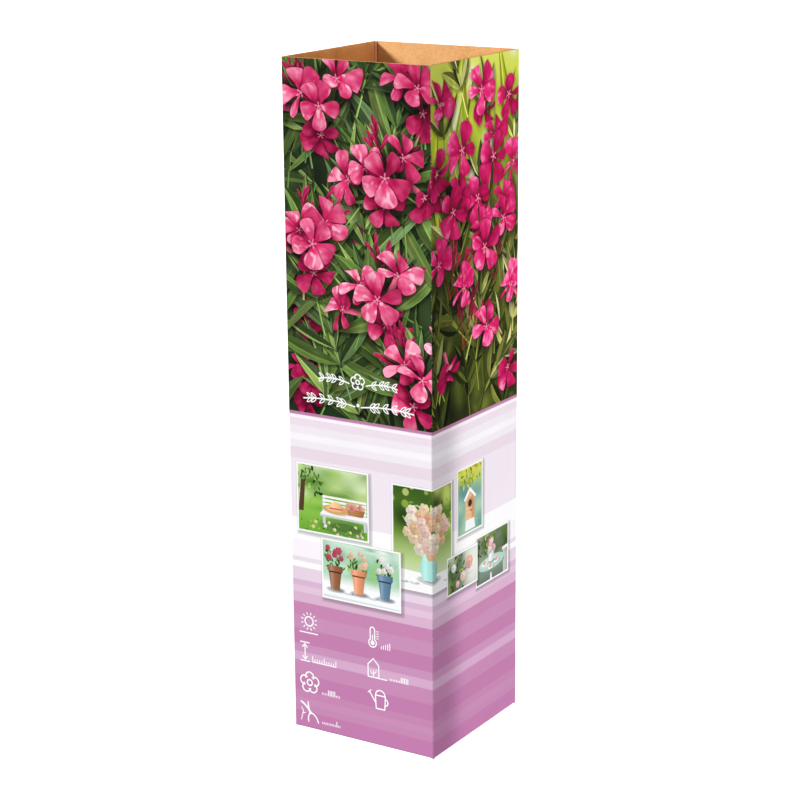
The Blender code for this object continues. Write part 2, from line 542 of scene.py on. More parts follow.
def leafAt(window, x, z, heading, length, width, kind, dice, light, shadow):
    # one half turned to the light and one away from it, now and then seen nearly edge on
    narrow = dice.choice([1.0, 0.9, 0.6, 0.3])
    widths = (width * narrow, width)
    tones = [tonesOf(kind, dice, 1.15 * light), tonesOf(kind, dice, 0.42 * light)]
    if dice.random() < 0.45:
        widths, tones = widths[::-1], tones[::-1]
    addLeaf(
        x, z, heading, length, widths, dice.uniform(-0.08, 0.08), *tones, window,
        dice.uniform(0, 90), shadow,
    )


# A shoot: a straight stem with leaves in threes, the younger ones steeper and shorter.
def addShoot(window, x, z, heading, length, kind, dice, light, leafLong, shadow=0.5, broad=1.0):
    tip = np.array([x + length * math.cos(heading), z + length * math.sin(heading)])
    sway = np.array([-math.sin(heading), math.cos(heading)]) * dice.uniform(-0.06, 0.06) * length
    middle = (np.array([x, z]) + tip) / 2 + sway
    addStem([(x, z), middle, tip], 1.3, tonesOf(kind, dice, 1.25 * light), window, 5)
    joints = max(int(length / 12), 2)
    for joint in range(joints):
        share = 0.25 + 0.75 * (joint + 1) / joints
        at = np.array([x, z]) * (1 - share) ** 2 + 2 * middle * share * (1 - share) + tip * share**2
        size = leafLong * (1.05 - 0.35 * share)
        for swing in (-1, 1, 0):
            turn = heading + swing * (0.95 - 0.45 * share) + dice.gauss(0, 0.14)
            leafAt(
                window, *at, turn, size * dice.uniform(0.85, 1.15), broad * dice.uniform(2.4, 4.0),
                kind, dice, light * dice.uniform(0.8, 1.2), shadow,
            )


def addBudSpray(window, x, z, heading, length, number, dice, tint, stemTint):
    top = (x + length * math.cos(heading), z + length * math.sin(heading))
    addStem([(x, z), ((x + top[0]) / 2 + 1, (z + top[1]) / 2), top], 1.1, stemTint, window, 7)
    for count in range(number):
        share = 0.45 + 0.55 * (count + 1) / number
        foot = (x + share * (top[0] - x), z + share * (top[1] - z))
        swing = heading + (0.7 if count % 2 else -0.7) * (1.15 - share) + dice.uniform(-0.2, 0.2)
        out = dice.uniform(2, 6)
        tip = (foot[0] + out * math.cos(swing), foot[1] + out * math.sin(swing))
        addStem([foot, tip], 0.7, stemTint, window, 9)
        tone = np.array(tint) * dice.uniform(0.7, 1.25)
        addBud(*tip, dice.uniform(6, 12), swing + dice.gauss(0, 0.2), tone, window, dice.uniform(0, 90))


# Flowers crowded round a point, the outer ones lower and turned further away.
def addCluster(window, x, z, flowers, size, light, dice):
    spots = []
    for number in range(flowers):
        turn = 2.4 * number + dice.uniform(-0.4, 0.4)
        out = size * (0.1 + 0.68 * math.sqrt(number)) * dice.uniform(0.88, 1.1)
        spots.append((out * math.cos(turn), 0.92 * out * math.sin(turn), out))
    spots.sort(key=lambda spot: -spot[2])
    for dx, dz, out in spots:
        tilt = min(0.25 + 0.32 * out / size + dice.uniform(-0.15, 0.3), 1.25)
        tone = light * (0.92 + 0.10 * dz / size + dice.uniform(-0.07, 0.07))
        addFlower(
            x + dx, z + dz, size * dice.uniform(0.86, 1.1), dice.uniform(0, 6.3), tilt,
            math.atan2(dz + 0.2 * size, dx) + dice.uniform(-0.5, 0.5), np.ones(3) * tone, window,
            dice, "petal",
        )


# Shapeless far leaves and light between them, behind everything that is sharp.
def softGround(window, number, sizes, pick, dice):
    blobs = []
    for count in range(number):
        x, z = dice.uniform(window[0] - 5, window[2] + 5), dice.uniform(window[1] - 5, window[3])
        blobs.append((
            x, z, dice.uniform(*sizes), dice.uniform(*sizes) * 1.5, dice.uniform(-1, 1), pick(z),
            dice.uniform(0.5, 0.95),
        ))
    return blobs


def pinkGarden(start, seed, clusters, farBlooms, lean):
    window = (start, pictureLow, start + side, carton["height"] + 1)
    dice = random.Random(seed)
    blobs = softGround(window, 80, (3, 11), lambda z: dice.choice(gardenGreens["gap"]), dice)
    for x, z, reach in farBlooms:
        for count in range(7):
            pink = dice.choice([(150, 20, 76), (196, 36, 104), (110, 14, 56), (214, 66, 124)])
            blobs.append((
                start + x + dice.gauss(0, reach / 2), z + dice.gauss(0, reach / 2), dice.uniform(2.5, 5),
                dice.uniform(2.5, 5), 0, pink, 0.85,
            ))
    addShape(boxOutline(*window), blurred(window, [(0, (30, 52, 28)), (1, (36, 60, 32))], blobs))
    scatterSpots(window, 2.6, dice)
    for count in range(20):
        x, z = start + dice.uniform(-10, 105), dice.uniform(170, 385)
        addShoot(window, x, z, math.radians(lean + dice.gauss(0, 20)), 46, "far", dice, 0.62, 42, 0)
    for x, z, reach in farBlooms[:2]:
        addCluster(window, start + x, z, 4, 12, 0.5, dice)
    for count in range(19):
        x, z = start - 12 + 120 * (count * 0.618 % 1), 165 + 220 * count / 18
        heading = math.radians(lean + dice.gauss(0, 24))
        addShoot(window, x, z, heading, 50, "leaf", dice, 0.85, 62, 0.6, 1.5)
    for x, z, flowers, size, light in clusters:
        for number in range(3):
            heading = math.radians(lean + 34 * (number - 1) + dice.gauss(0, 12))
            foot = (start + x - 34 * math.cos(heading), z - 34 * math.sin(heading))
            addShoot(window, *foot, heading, 34, "leaf", dice, light, 50, 0.6, 1.4)
        for count in range(3):
            heading = math.radians(90 + dice.gauss(0, 42))
            foot = (start + x + dice.uniform(-8, 8), z + dice.uniform(0, 8))
            length = dice.uniform(16, 24)
            addBudSpray(window, *foot, heading, length, 5, dice, (0.78, 0.6, 0.68), inkOf(84, 30, 34))
        addCluster(window, start + x, z, flowers, size, light, dice)


def limeGarden(start, seed, flowers, sprays):
    window = (start, pictureLow, start + side, carton["height"] + 1)
    dice = random.Random(seed)

    def pick(z):
        return dice.choice(gardenGreens["lime" if z + dice.gauss(0, 14) > 342 else "moss"])

    blobs = softGround(window, 190, (1.8, 6.5), pick, dice)
    heights = [
        (0, (38, 44, 13)), (0.35, (54, 64, 20)), (0.58, (96, 110, 32)), (0.72, (162, 180, 42)),
        (0.85, (200, 210, 62)), (1, (216, 222, 98)),
    ]
    addShape(boxOutline(*window), blurred(window, heights, blobs))
    scatterSpots(window, 2.4, dice)
    for count in range(14):
        # wide blades far behind, bright where the light comes through
        x, z = start + dice.uniform(-5, 105), dice.uniform(300, 350)
        leafAt(window, x, z, math.radians(90 + dice.gauss(0, 12)), 70, 3.6, "blade", dice, 0.9, 0)
    for count in range(22):
        x, z = start + dice.uniform(-10, 110), dice.uniform(168, 300)
        addShoot(window, x, z, math.radians(92 + dice.gauss(0, 32)), 36, "moss", dice, 0.75, 30, 0)
    for count in range(15):
        x, z = start + dice.uniform(-10, 110), dice.uniform(172, 328)
        addShoot(window, x, z, math.radians(90 + dice.gauss(0, 34)), 38, "olive", dice, 0.8, 30)
    for x, z in ((16, 352), (66, 362), (92, 340), (40, 378)):
        addShoot(window, start + x, z, math.radians(90 + dice.gauss(0, 26)), 30, "olive", dice, 1.0, 30)
    for x, z, heading, length in sprays:
        for count in range(3):
            turn = math.radians(heading + 30 * (count - 1))
            tints = (0.62, 0.36, 0.42), inkOf(116, 50, 32)
            addBudSpray(window, start + x, z, turn, length, 7, dice, *tints)
    for x, z, size, tilt, light in flowers:
        # each in front of one or two more of its head, which turn away
        away = dice.uniform(0, 6.3)
        for number in range(dice.choice([0, 1, 1, 2]) if z > 290 else 0):
            away += dice.uniform(1.6, 3.0)
            addFlower(
                start + x + 0.8 * size * math.cos(away), z + 0.75 * size * math.sin(away), 0.92 * size,
                dice.uniform(0, 6.3), 0.85, away, np.ones(3) * light * 0.84, window, dice,
                "petalMagenta", 0.3,
            )
        addFlower(
            start + x, z, 1.12 * size, dice.uniform(0, 6.3), tilt, dice.uniform(0, 6.3),
            np.ones(3) * light, window, dice, "petalMagenta", 0.3 if z > 330 else 0.55,
        )


# white line drawings: the ornament over the stripes and the care signs

whiteInk = even(inkOf(255, 255, 255))


def addLine(points, width=0.95):
    addStroke(points, width, whiteInk)


def arcPoints(x, z, radius, first, last, steps):
    turns = [math.radians(first + (last - first) * step / steps) for step in range(steps + 1)]
    return [(x + radius * math.cos(turn), z + radius * math.sin(turn)) for turn in turns]


def curvePoints(a, b, c, steps):
    a, b, c = (np.array(point, float) for point in (a, b, c))
    shares = [step / steps for step in range(steps + 1)]
    return [a * (1 - t) ** 2 + 2 * b * t * (1 - t) + c * t**2 for t in shares]


# Strokes of a sign, from point to point, given by how far each lies from the sign's place.
def addLines(x, z, width, *strokes):
    for stroke in strokes:
        addLine([(x + dx, z + dz) for dx, dz in stroke], width)


def addCurves(x, z, width, steps, *curves):
    for curve in curves:
        addLine(curvePoints(*[(x + dx, z + dz) for dx, dz in curve], steps), width)


months = {"apart": 1.15, "tall": (3.3, 0.62), "short": (1.1, 0.5)}  # a stroke's height and width


# Twelve strokes for the months, tall ones for the months that count.
def addMonths(x, z, shown):
    for number in range(12):
        tall, width = months["tall" if shown[0] <= number <= shown[1] else "short"]
        at = x + months["apart"] * number
        addLine([(at, z), (at, z + tall)], width)


# Half of the ornament: a curved twig with paired leaves, that runs out to one side.
def addTwig(x, z, length, hand, leaves, leafLong):
    stem = curvePoints((x, z), (x + hand * length / 2, z + 3.2), (x + hand * length, z + 0.6), 12)
    addLine(stem, 0.8)
    for number in range(leaves):
        foot = stem[1 + round((number + 0.5) * 10 / leaves)]
        for lift in (1, -1):
            turn = math.atan2(lift * 0.75, hand)
            tip = foot + leafLong * np.array([math.cos(turn), math.sin(turn)])
            bulge = 0.34 * leafLong * np.array([-math.sin(turn), math.cos(turn)])
            middle = (foot + tip) / 2
            addLine(curvePoints(foot, middle + bulge, tip, 5), 0.6)
            addLine(curvePoints(foot, middle - bulge, tip, 5), 0.6)


def addOutlineFlower(x, z, radius, width=0.95):
    for number in range(5):
        heading = 90 + 72 * number
        turn = math.radians(heading)
        middle = (x + 0.62 * radius * math.cos(turn), z + 0.62 * radius * math.sin(turn))
        addLine(arcPoints(*middle, 0.46 * radius, heading - 112, heading + 112, 9), width)
    addLine(arcPoints(x, z, 0.3 * radius, 0, 360, 10), width)


def addOrnament(start):
    x = start + 49.5
    addTwig(x - 6, 224, 21, -1, 4, 4.2)
    addTwig(x + 6, 224, 21, 1, 4, 4.2)
    addOutlineFlower(x, 225.5, 4.4, 0.8)
    addTwig(x + 2.2, 210.5, 36, 1, 6, 4.6)
    addTwig(x - 2.2, 210.5, 36, -1, 6, 4.6)
    addShape(roundOutline(x, 211.5, 1.1, 10), whiteInk)


def addCareSigns(start):
    # sun over level ground
    x, z = start + 11.9, 70.4
    addLine(arcPoints(x, z, 3.0, 0, 360, 18))
    for number in range(12):
        turn = math.radians(30 * number + 15)
        addLine([(x + out * math.cos(turn), z + out * math.sin(turn)) for out in (4.5, 5.7)], 0.7)
    addLines(start, 62.9, 0.8, [(5, 0), (18, 0)])
    # height, with a ruler
    addLines(
        start + 8.5, 0, 0.8, [(-3.2, 56.3), (3.2, 56.3)], [(-3.2, 44.2), (3.2, 44.2)],
        [(0, 45.4), (0, 55.1)], [(-1.7, 53.2), (0, 55.3), (1.7, 53.2)],
        [(-1.7, 47.3), (0, 45.2), (1.7, 47.3)],
    )
    for number in range(11):
        tall = 3.6 if number % 5 == 0 else 1.9
        addLine([(start + 14 + 1.7 * number, 44.4), (start + 14 + 1.7 * number, 44.4 + tall)], 0.62)
    addLines(start, 44.4, 0.62, [(14, 0), (31, 0)])
    # months in flower
    addOutlineFlower(start + 11.5, 30.4, 6.4)
    addMonths(start + 20.6, 24.6, (4, 8))
    # pruning shears
    x, z = start + 11, 10.6
    addCurves(x, z, 1.3, 7, [(-6, 6.2), (-1.5, 4), (0.6, 0)])
    addCurves(
        x, z, 0.95, 7, [(0.6, 0), (4.8, -0.4), (6.4, -5.6)], [(-1.0, 6.8), (-0.9, 3), (0.6, 0)],
        [(0.6, 0), (-1.6, -2.5), (-0.8, -6)],
    )
    addShape(roundOutline(x + 0.6, z, 1.1, 10), whiteInk)
    addLines(x, z, 0.6, [(-6.2, -5.8), (-4.6, 0.6), (-5.9, 2.4)], [(-5.1, -1.4), (-3.2, -0.6)])
    addMonths(start + 20.6, 5.2, (9, 9))
    # thermometer
    x = start + 57.6
    addLine(arcPoints(x, 65.6, 2.7, 128, 412, 16), 0.8)
    addLines(x, 0, 0.8, [(-1.6, 67.8), (-1.6, 74)], [(1.6, 67.8), (1.6, 74)])
    addLine(arcPoints(x, 74, 1.6, 0, 180, 8), 0.8)
    addShape(roundOutline(x, 65.6, 1.5, 10), whiteInk)
    addLines(x, 0, 0.7, [(0, 66), (0, 70.4)])
    for number in range(4):
        addLines(x, 68.8 + 1.5 * number, 0.5, [(2.9, 0), (4.3, 0)])
    for number in range(5):
        addLines(x + 6.2 + 1.5 * number, 0, 0.62, [(0, 63), (0, 64.4 + 0.7 * number)])
    # greenhouse for the winter
    x = start + 58
    addLines(
        x, 0, 0.8, [(-3.8, 43.6), (-3.8, 51.6), (0, 55.6), (3.8, 51.6), (3.8, 43.6)],
        [(-3.8, 43.6), (9.4, 43.6)],
    )
    addLines(x, 0, 0.6, [(0, 43.8), (0, 48.4)])
    addCurves(
        x, 0, 0.6, 4, [(0, 45.6), (-1.9, 45.8), (-2, 48)], [(0, 46.2), (1.9, 46.4), (2, 48.6)]
    )
    addMonths(start + 69.6, 43.9, (7, 11))
    # watering can
    x, z = start + 60.6, 30
    addLines(
        x, z, 0.85, [(-1.4, 2.6), (-0.9, -6), (5.2, -6), (5.7, 2.6), (-1.4, 2.6)],
        [(-1, -2.8), (-5.6, 4.2)], [(-6.4, 3.4), (-4.6, 5)],
    )
    addLine(arcPoints(x + 2.1, z + 2.6, 3.4, 0, 180, 10), 0.85)
    addLine(arcPoints(x + 5.4, z - 1.2, 2.1, -78, 78, 7), 0.85)


# small bright garden views in white frames

frameLook = {"border": 1.0, "shadowShift": (1.1, -1.2), "shadowSpread": 2.4, "shadow": 0.42}
tinyLeafEdge = [(0, 0), (0.35, 0.2), (0.7, 0.16), (1, 0), (0.6, -0.17), (0.3, -0.18)]
leafyGreens = [(86, 140, 46), (120, 170, 60), (60, 104, 36), (160, 200, 84)]
darkGreens = [(40, 70, 26), (62, 98, 36), (30, 54, 22), (92, 132, 50)]


# Soft blobs of one kind, dealt out by chance over a part of a view.
def dealt(dice, number, across, up, size, colours, strength):
    blobs = []
    for count in range(number):
        u, v = dice.uniform(*across), dice.uniform(*up)
        colour = dice.choice(colours) if len(colours) > 1 else colours[0]
        blobs.append((u, v, *size, colour, strength))
    return blobs


# A framed view with a soft background. Places in it run from 0 to 1, across and up.
def startView(place, dice, heights, blobs):
    left, low, wide, tall = place
    outline = np.array(boxOutline(left, low, left + wide, low + tall))
    shadow = [frameLook[name] for name in ("shadowShift", "shadowSpread", "shadow")]
    addShadow(outline, *shadow, None, cast=True)
    addShape(outline, even(inkOf(255, 255, 255)))
    edge = frameLook["border"]
    window = (left + edge, low + edge, left + wide - edge, low + tall - edge)

    def at(u, v):
        return left + u * wide, low + v * tall

    scaled = [
        (*at(u, v), w * wide, h * tall, 0.0, colour, strength) for u, v, w, h, colour, strength in blobs
    ]
    addShape(boxOutline(*window), blurred(window, heights, scaled), window=window)
    scatterSpots(window, 1.7, dice)
    return {"at": at, "window": window, "wide": wide, "dice": dice}


def addPatch(view, points, colour):
    outline = [view["at"](u, v) for u, v in points]
    addShape(outline, even(inkOf(*colour)), window=view["window"])


def addRound(view, x, z, radius, steps, tall, colour):
    addShape(roundOutline(x, z, radius, steps, tall), even(inkOf(*colour)), window=view["window"])


def addBar(view, first, last, width, colour):
    points = [view["at"](*first), view["at"](*last)]
    addStroke(points, width, even(inkOf(*colour)), view["window"])


# The outline of turned ware, from its half widths and heights, the lowest first.
def turnedOutline(middle, steps):
    right = [(middle + half, v) for half, v in steps]
    left = [(middle - half, v) for half, v in steps]
    return left[:1] + right + left[:0:-1]


# Turned ware, such as a pot: brightest left of its middle and darkest at its right.
def addTurned(view, points, colour, gloss=0.25):
    outline = np.array([view["at"](u, v) for u, v in points])
    left, low = outline.min(0)
    right, high = outline.max(0)
    tone = inkOf(*colour)

    def paint(at):
        share = (at[:, :1] - left) / (right - left)
        light = 0.62 + 0.46 * np.cos(2.0 * (share - 0.3)) - 0.1 * (share > 0.9)
        return (tone * light + gloss * np.exp(-(((share - 0.27) / 0.12) ** 2)) * 0.5).clip(0, 0.95)

    steps = [left + (right - left) * share for share in (0.08, 0.17, 0.27, 0.38, 0.5, 0.62, 0.75, 0.88)]
    addShape(outline, paint, window=view["window"], lines=[[(x, low), (x, high)] for x in steps])


def addSoftDisc(view, x, z, radius, colour, strength, tall=1.0):
    tone = inkOf(*colour)

    def paint(at):
        out = np.hypot(at[:, 0] - x, (at[:, 1] - z) / tall) / radius
        return np.tile(tone, (len(at), 1)), strength * ((1.12 - out) / 0.24).clip(0, 1)

    inner = roundOutline(x, z, 0.88 * radius, 12, tall)
    outer = roundOutline(x, z, 1.12 * radius, 12, tall)
    addVeil(outer, paint, view["window"], [inner + inner[:1]])


# A soft shadow on what a thing stands on, darker close to it.
def addContact(view, u, v, radius, strength):
    addSoftDisc(view, *view["at"](u, v), radius, (60, 70, 70), strength, 0.28)
    addSoftDisc(view, *view["at"](u + 0.02, v), 0.62 * radius, (36, 40, 40), strength, 0.24)


# Cups on saucers: each of the two has its radius, steps, height over width and colour.
def addCups(view, places, shadow, saucer, lift, cup):
    for u, v in places:
        x, z = view["at"](u, v)
        addContact(view, u + 0.01, v - 0.01, *shadow)
        addRound(view, x, z, *saucer)
        addRound(view, x, z + lift, *cup)


def addTinyLeaves(view, low, high, number, sizes, colours, lean=90):
    dice = view["dice"]
    for count in range(number):
        x, z = view["at"](dice.uniform(low[0], high[0]), dice.uniform(low[1], high[1]))
        turn, size = math.radians(dice.gauss(lean, 45)), dice.uniform(*sizes)
        outline = np.array(tinyLeafEdge) * size
        tone = inkOf(*dice.choice(colours)) * dice.uniform(0.8, 1.2)
        addShape(outline @ rotation(turn).T + (x, z), even(tone), window=view["window"])


# A round bloom: two rings of petals, paler towards their tips.
def addBloom(view, u, v, radius, colour, petals=6):
    (x, z), dice, window = view["at"](u, v), view["dice"], view["window"]
    for ring, (reach, tint) in enumerate(((1.0, 0.84), (0.58, 1.0))):
        for number in range(petals - 2 * ring):
            turn = 2 * math.pi * (number + 0.5 * ring) / (petals - 2 * ring) + dice.uniform(-0.2, 0.2)
            out = 0.5 * reach * radius
            outline = np.array(roundOutline(0, 0, 0.52 * reach * radius, 7, 0.9)) @ rotation(turn).T
            outline += (x + out * math.cos(turn), z + out * math.sin(turn))
            tone = inkOf(*colour) * tint * (0.9 + 0.16 * math.sin(turn + 0.6)) * dice.uniform(0.92, 1.06)

            def paint(at, tone=tone):
                far = np.hypot(*(at - (x, z)).T) / radius
                return tone * (0.78 + 0.32 * far).clip(0, 1.08)[:, None]

            addShape(outline, paint, window=window)
    addShape(roundOutline(x, z, 0.18 * radius, 6), even(inkOf(*colour) * 0.55), window=window)


# A white bench on a lawn, with a straw hat and a basket of flowers.
def lawnView(place, dice):
    far = leafyGreens + [(232, 244, 200), (206, 228, 150)]
    grass = [(126, 190, 62), (160, 212, 92), (96, 160, 50)]
    blobs = dealt(dice, 16, (0, 1), (0.55, 1.0), (0.14, 0.08), far, 0.7)
    blobs += dealt(dice, 8, (0, 1), (0.0, 0.42), (0.3, 0.05), grass, 0.6)
    view = startView(place, dice, [
        (0, (106, 168, 54)), (0.45, (154, 204, 84)), (0.6, (120, 168, 76)), (1, (220, 236, 190)),
    ], blobs)
    wide, white, shade, cane = view["wide"], (250, 248, 246), (206, 210, 214), (122, 78, 44)
    addTinyLeaves(view, (-0.05, 0.6), (0.34, 1.0), 46, (2.2, 4.2), darkGreens + leafyGreens, -60)
    addPatch(view, [(0.02, 0.3), (0.09, 0.3), (0.12, 0.75), (0.06, 0.76)], (84, 62, 44))
    addContact(view, 0.66, 0.15, 0.36 * wide, 0.4)
    addPatch(view, boxOutline(0.36, 0.16, 0.40, 0.58), shade)
    addPatch(view, boxOutline(0.93, 0.14, 0.97, 0.58), shade)
    for number in range(4):
        level = 0.38 + 0.055 * number
        addPatch(view, boxOutline(0.36, level, 0.97, level + 0.032), white)
    addPatch(view, [(0.32, 0.30), (1.0, 0.29), (0.98, 0.36), (0.37, 0.37)], white)
    addPatch(view, [(0.32, 0.27), (1.0, 0.26), (1.0, 0.29), (0.32, 0.30)], shade)
    # the hat
    x, z = view["at"](0.55, 0.395)
    addContact(view, 0.57, 0.375, 0.18 * wide, 0.35)
    addRound(view, x, z, 0.19 * wide, 18, 0.3, (214, 168, 104))
    addSoftDisc(view, x - 1.2, z + 0.4, 0.12 * wide, (238, 202, 140), 0.8, 0.3)
    crown = [
        (0.45, 0.40), (0.65, 0.40), (0.64, 0.455), (0.60, 0.50), (0.55, 0.51), (0.50, 0.50),
        (0.46, 0.455),
    ]
    addTurned(view, crown, (240, 202, 138), 0.1)
    addPatch(view, boxOutline(0.455, 0.395, 0.645, 0.418), (226, 90, 120))
    # the basket
    addTurned(view, [(0.72, 0.345), (0.92, 0.345), (0.95, 0.45), (0.70, 0.45)], (186, 130, 78), 0.1)
    for number in range(3):
        level = 0.37 + 0.03 * number
        addBar(view, (0.712, level), (0.93, level), 0.25, cane)
    flowers = [(250, 190, 160), (252, 226, 200), (240, 140, 150)]
    for number in range(7):
        u, v = 0.71 + 0.035 * number, 0.47 + 0.02 * (number % 2)
        addBloom(view, u, v, dice.uniform(1.6, 2.3), dice.choice(flowers))
    addTinyLeaves(view, (0.0, 0.0), (1.0, 0.16), 40, (1.6, 3.0), leafyGreens)
    daisies = [(255, 255, 255), (250, 206, 214), (255, 240, 180)]
    for number in range(12):
        u, v = dice.random(), dice.uniform(0.02, 0.2)
        addBloom(view, u, v, dice.uniform(0.8, 1.4), dice.choice(daisies), 5)


# A vase of flowers on a table, with cups.
def bouquetView(place, dice):
    blobs = dealt(dice, 14, (0, 1), (0.62, 1.0), (0.16, 0.1), darkGreens, 0.8)
    blobs += dealt(dice, 5, (0.5, 1), (0.5, 1), (0.1, 0.07), [(214, 232, 120)], 0.8)
    view = startView(place, dice, [
        (0, (226, 236, 220)), (0.3, (186, 208, 140)), (0.55, (110, 146, 56)), (1, (58, 88, 30)),
    ], blobs)
    glints = [(226, 240, 140), (250, 250, 200), (168, 200, 80)]
    for number in range(12):
        x, z = view["at"](dice.random(), dice.uniform(0.55, 1.0))
        addSoftDisc(view, x, z, dice.uniform(1.4, 3.0), dice.choice(glints), 0.55)
    addTinyLeaves(view, (0.2, 0.42), (0.95, 0.85), 46, (3.0, 5.2), leafyGreens + [(196, 216, 130)])
    addPatch(view, [(0, 0), (1, 0), (1, 0.17), (0, 0.2)], (250, 250, 250))
    addContact(view, 0.54, 0.125, 0.20 * view["wide"], 0.4)
    vase = [(0.09, 0.12), (0.13, 0.19), (0.14, 0.25), (0.10, 0.34), (0.08, 0.42)]
    addTurned(view, turnedOutline(0.52, vase), (164, 220, 212))
    tones = [(252, 226, 190), (246, 204, 162), (255, 240, 222), (250, 214, 200), (240, 186, 150)]
    for number in range(26):
        turn, out = 2.4 * number, 0.045 * math.sqrt(26 - number)
        u, v = 0.52 + 1.45 * out * math.cos(turn), 0.60 + 1.05 * out * math.sin(turn)
        addBloom(view, u, v, dice.uniform(3.4, 4.8), dice.choice(tones))
    saucer, cup = (2.6, 14, 0.4, (214, 222, 222)), (2.2, 14, 0.6, (255, 255, 255))
    addCups(view, [(u, 0.09) for u in (0.15, 0.3, 0.86)], (3.6, 0.3), saucer, 0.9, cup)


# Three pots of flowers on a shelf.
def potsView(place, dice):
    far = [(255, 255, 255), (120, 190, 150), (90, 160, 110), (200, 232, 210), (150, 205, 120)]
    view = startView(place, dice, [
        (0, (250, 250, 250)), (0.3, (240, 246, 242)), (0.45, (150, 200, 160)), (1, (214, 238, 220)),
    ], dealt(dice, 26, (0, 1), (0.45, 1.0), (0.08, 0.12), far, 0.75))
    addPatch(view, [(0, 0), (1, 0), (1, 0.26), (0, 0.30)], (250, 251, 252))
    addPatch(view, [(0, 0.0), (1, 0.0), (1, 0.05), (0, 0.07)], (222, 228, 232))
    for u, clay, flower in (
        (0.17, (150, 98, 66), (206, 84, 110)), (0.47, (228, 150, 108), (250, 214, 180)),
        (0.80, (96, 132, 160), (250, 250, 246)),
    ):
        addTinyLeaves(view, (u - 0.12, 0.5), (u + 0.10, 0.78), 26, (2.4, 4.2), leafyGreens + darkGreens)
        addContact(view, u + 0.01, 0.17, 0.12 * view["wide"], 0.5)
        addTurned(view, turnedOutline(u, [(0.055, 0.17), (0.085, 0.50)]), clay)
        addPatch(view, turnedOutline(u, [(0.083, 0.45), (0.085, 0.50)]), [0.5 * part for part in clay])
        addTurned(view, turnedOutline(u, [(0.098, 0.475), (0.1, 0.57)]), clay)
        for number in range(7):
            across, up = u + dice.uniform(-0.10, 0.10), dice.uniform(0.62, 0.88)
            addBloom(view, across, up, dice.uniform(1.7, 2.6), flower)
    saucer, cup = (3.0, 14, 0.36, (206, 214, 220)), (1.9, 12, 0.75, (255, 255, 255))
    addCups(view, [(u, 0.16) for u in (0.33, 0.64)], (4.2, 0.3), saucer, 1.1, cup)


# A branch in blossom.
def blossomView(place, dice):
    blobs = dealt(dice, 12, (0, 0.6), (0, 1), (0.12, 0.2), darkGreens, 0.8)
    blobs.append((0.85, 0.5, 0.3, 0.8, (244, 244, 242), 0.9))
    view = startView(place, dice, [(0, (150, 160, 120)), (1, (196, 206, 176))], blobs)
    addTinyLeaves(view, (0.0, 0.0), (0.55, 0.95), 44, (2.6, 4.6), darkGreens + leafyGreens)
    branch = [view["at"](u, v) for u, v in ((0.1, 0.05), (0.5, 0.45), (0.8, 0.62))]
    addStem(branch, 0.9, inkOf(96, 66, 48), view["window"], 1)
    for u, v, size, colour in (
        (0.72, 0.62, 4.6, (250, 196, 176)), (0.52, 0.34, 3.4, (252, 222, 206)),
        (0.22, 0.66, 2.8, (255, 255, 255)), (0.34, 0.2, 2.2, (250, 210, 214)),
    ):
        addBloom(view, u, v, size, colour, 8)


# A bird box that hangs under leaves.
def birdBoxView(place, dice):
    far = [(120, 176, 170), (150, 200, 170), (96, 150, 150), (190, 220, 190)]
    view = startView(place, dice, [
        (0, (120, 170, 130)), (0.5, (140, 190, 180)), (0.8, (180, 206, 110)), (1, (226, 222, 90)),
    ], dealt(dice, 14, (0, 1), (0.0, 0.7), (0.22, 0.12), far, 0.7))
    autumn = [(206, 200, 50), (150, 170, 40), (230, 214, 80), (110, 140, 40)]
    addTinyLeaves(view, (0.0, 0.72), (1.0, 1.05), 70, (2.6, 4.8), autumn, -80)
    addStem([view["at"](0.5, 1.0), view["at"](0.5, 0.66)], 0.5, inkOf(90, 70, 50), view["window"], 1)
    front = [(0.32, 0.2), (0.68, 0.2), (0.68, 0.55), (0.5, 0.66), (0.32, 0.55)]
    roof = [(0.26, 0.52), (0.5, 0.68), (0.74, 0.52), (0.70, 0.49), (0.5, 0.62), (0.30, 0.49)]
    addPatch(view, front, (236, 190, 146))
    addPatch(view, [(0.56, 0.2), (0.68, 0.2), (0.68, 0.55), (0.56, 0.62)], (208, 156, 112))
    addPatch(view, roof, (250, 250, 250))
    for number in range(3):
        level = 0.27 + 0.07 * number
        addBar(view, (0.34, level), (0.555, level), 0.2, (196, 146, 102))
    addSoftDisc(view, *view["at"](0.5, 0.45), 0.11 * view["wide"], (150, 104, 70), 0.5)
    addRound(view, *view["at"](0.5, 0.44), 0.075 * view["wide"], 12, 1.0, (64, 42, 32))
    addBar(view, (0.5, 0.33), (0.58, 0.32), 0.8, (140, 100, 70))
    addPatch(view, [(0.30, 0.05), (0.70, 0.05), (0.66, 0.2), (0.34, 0.2)], (246, 248, 250))


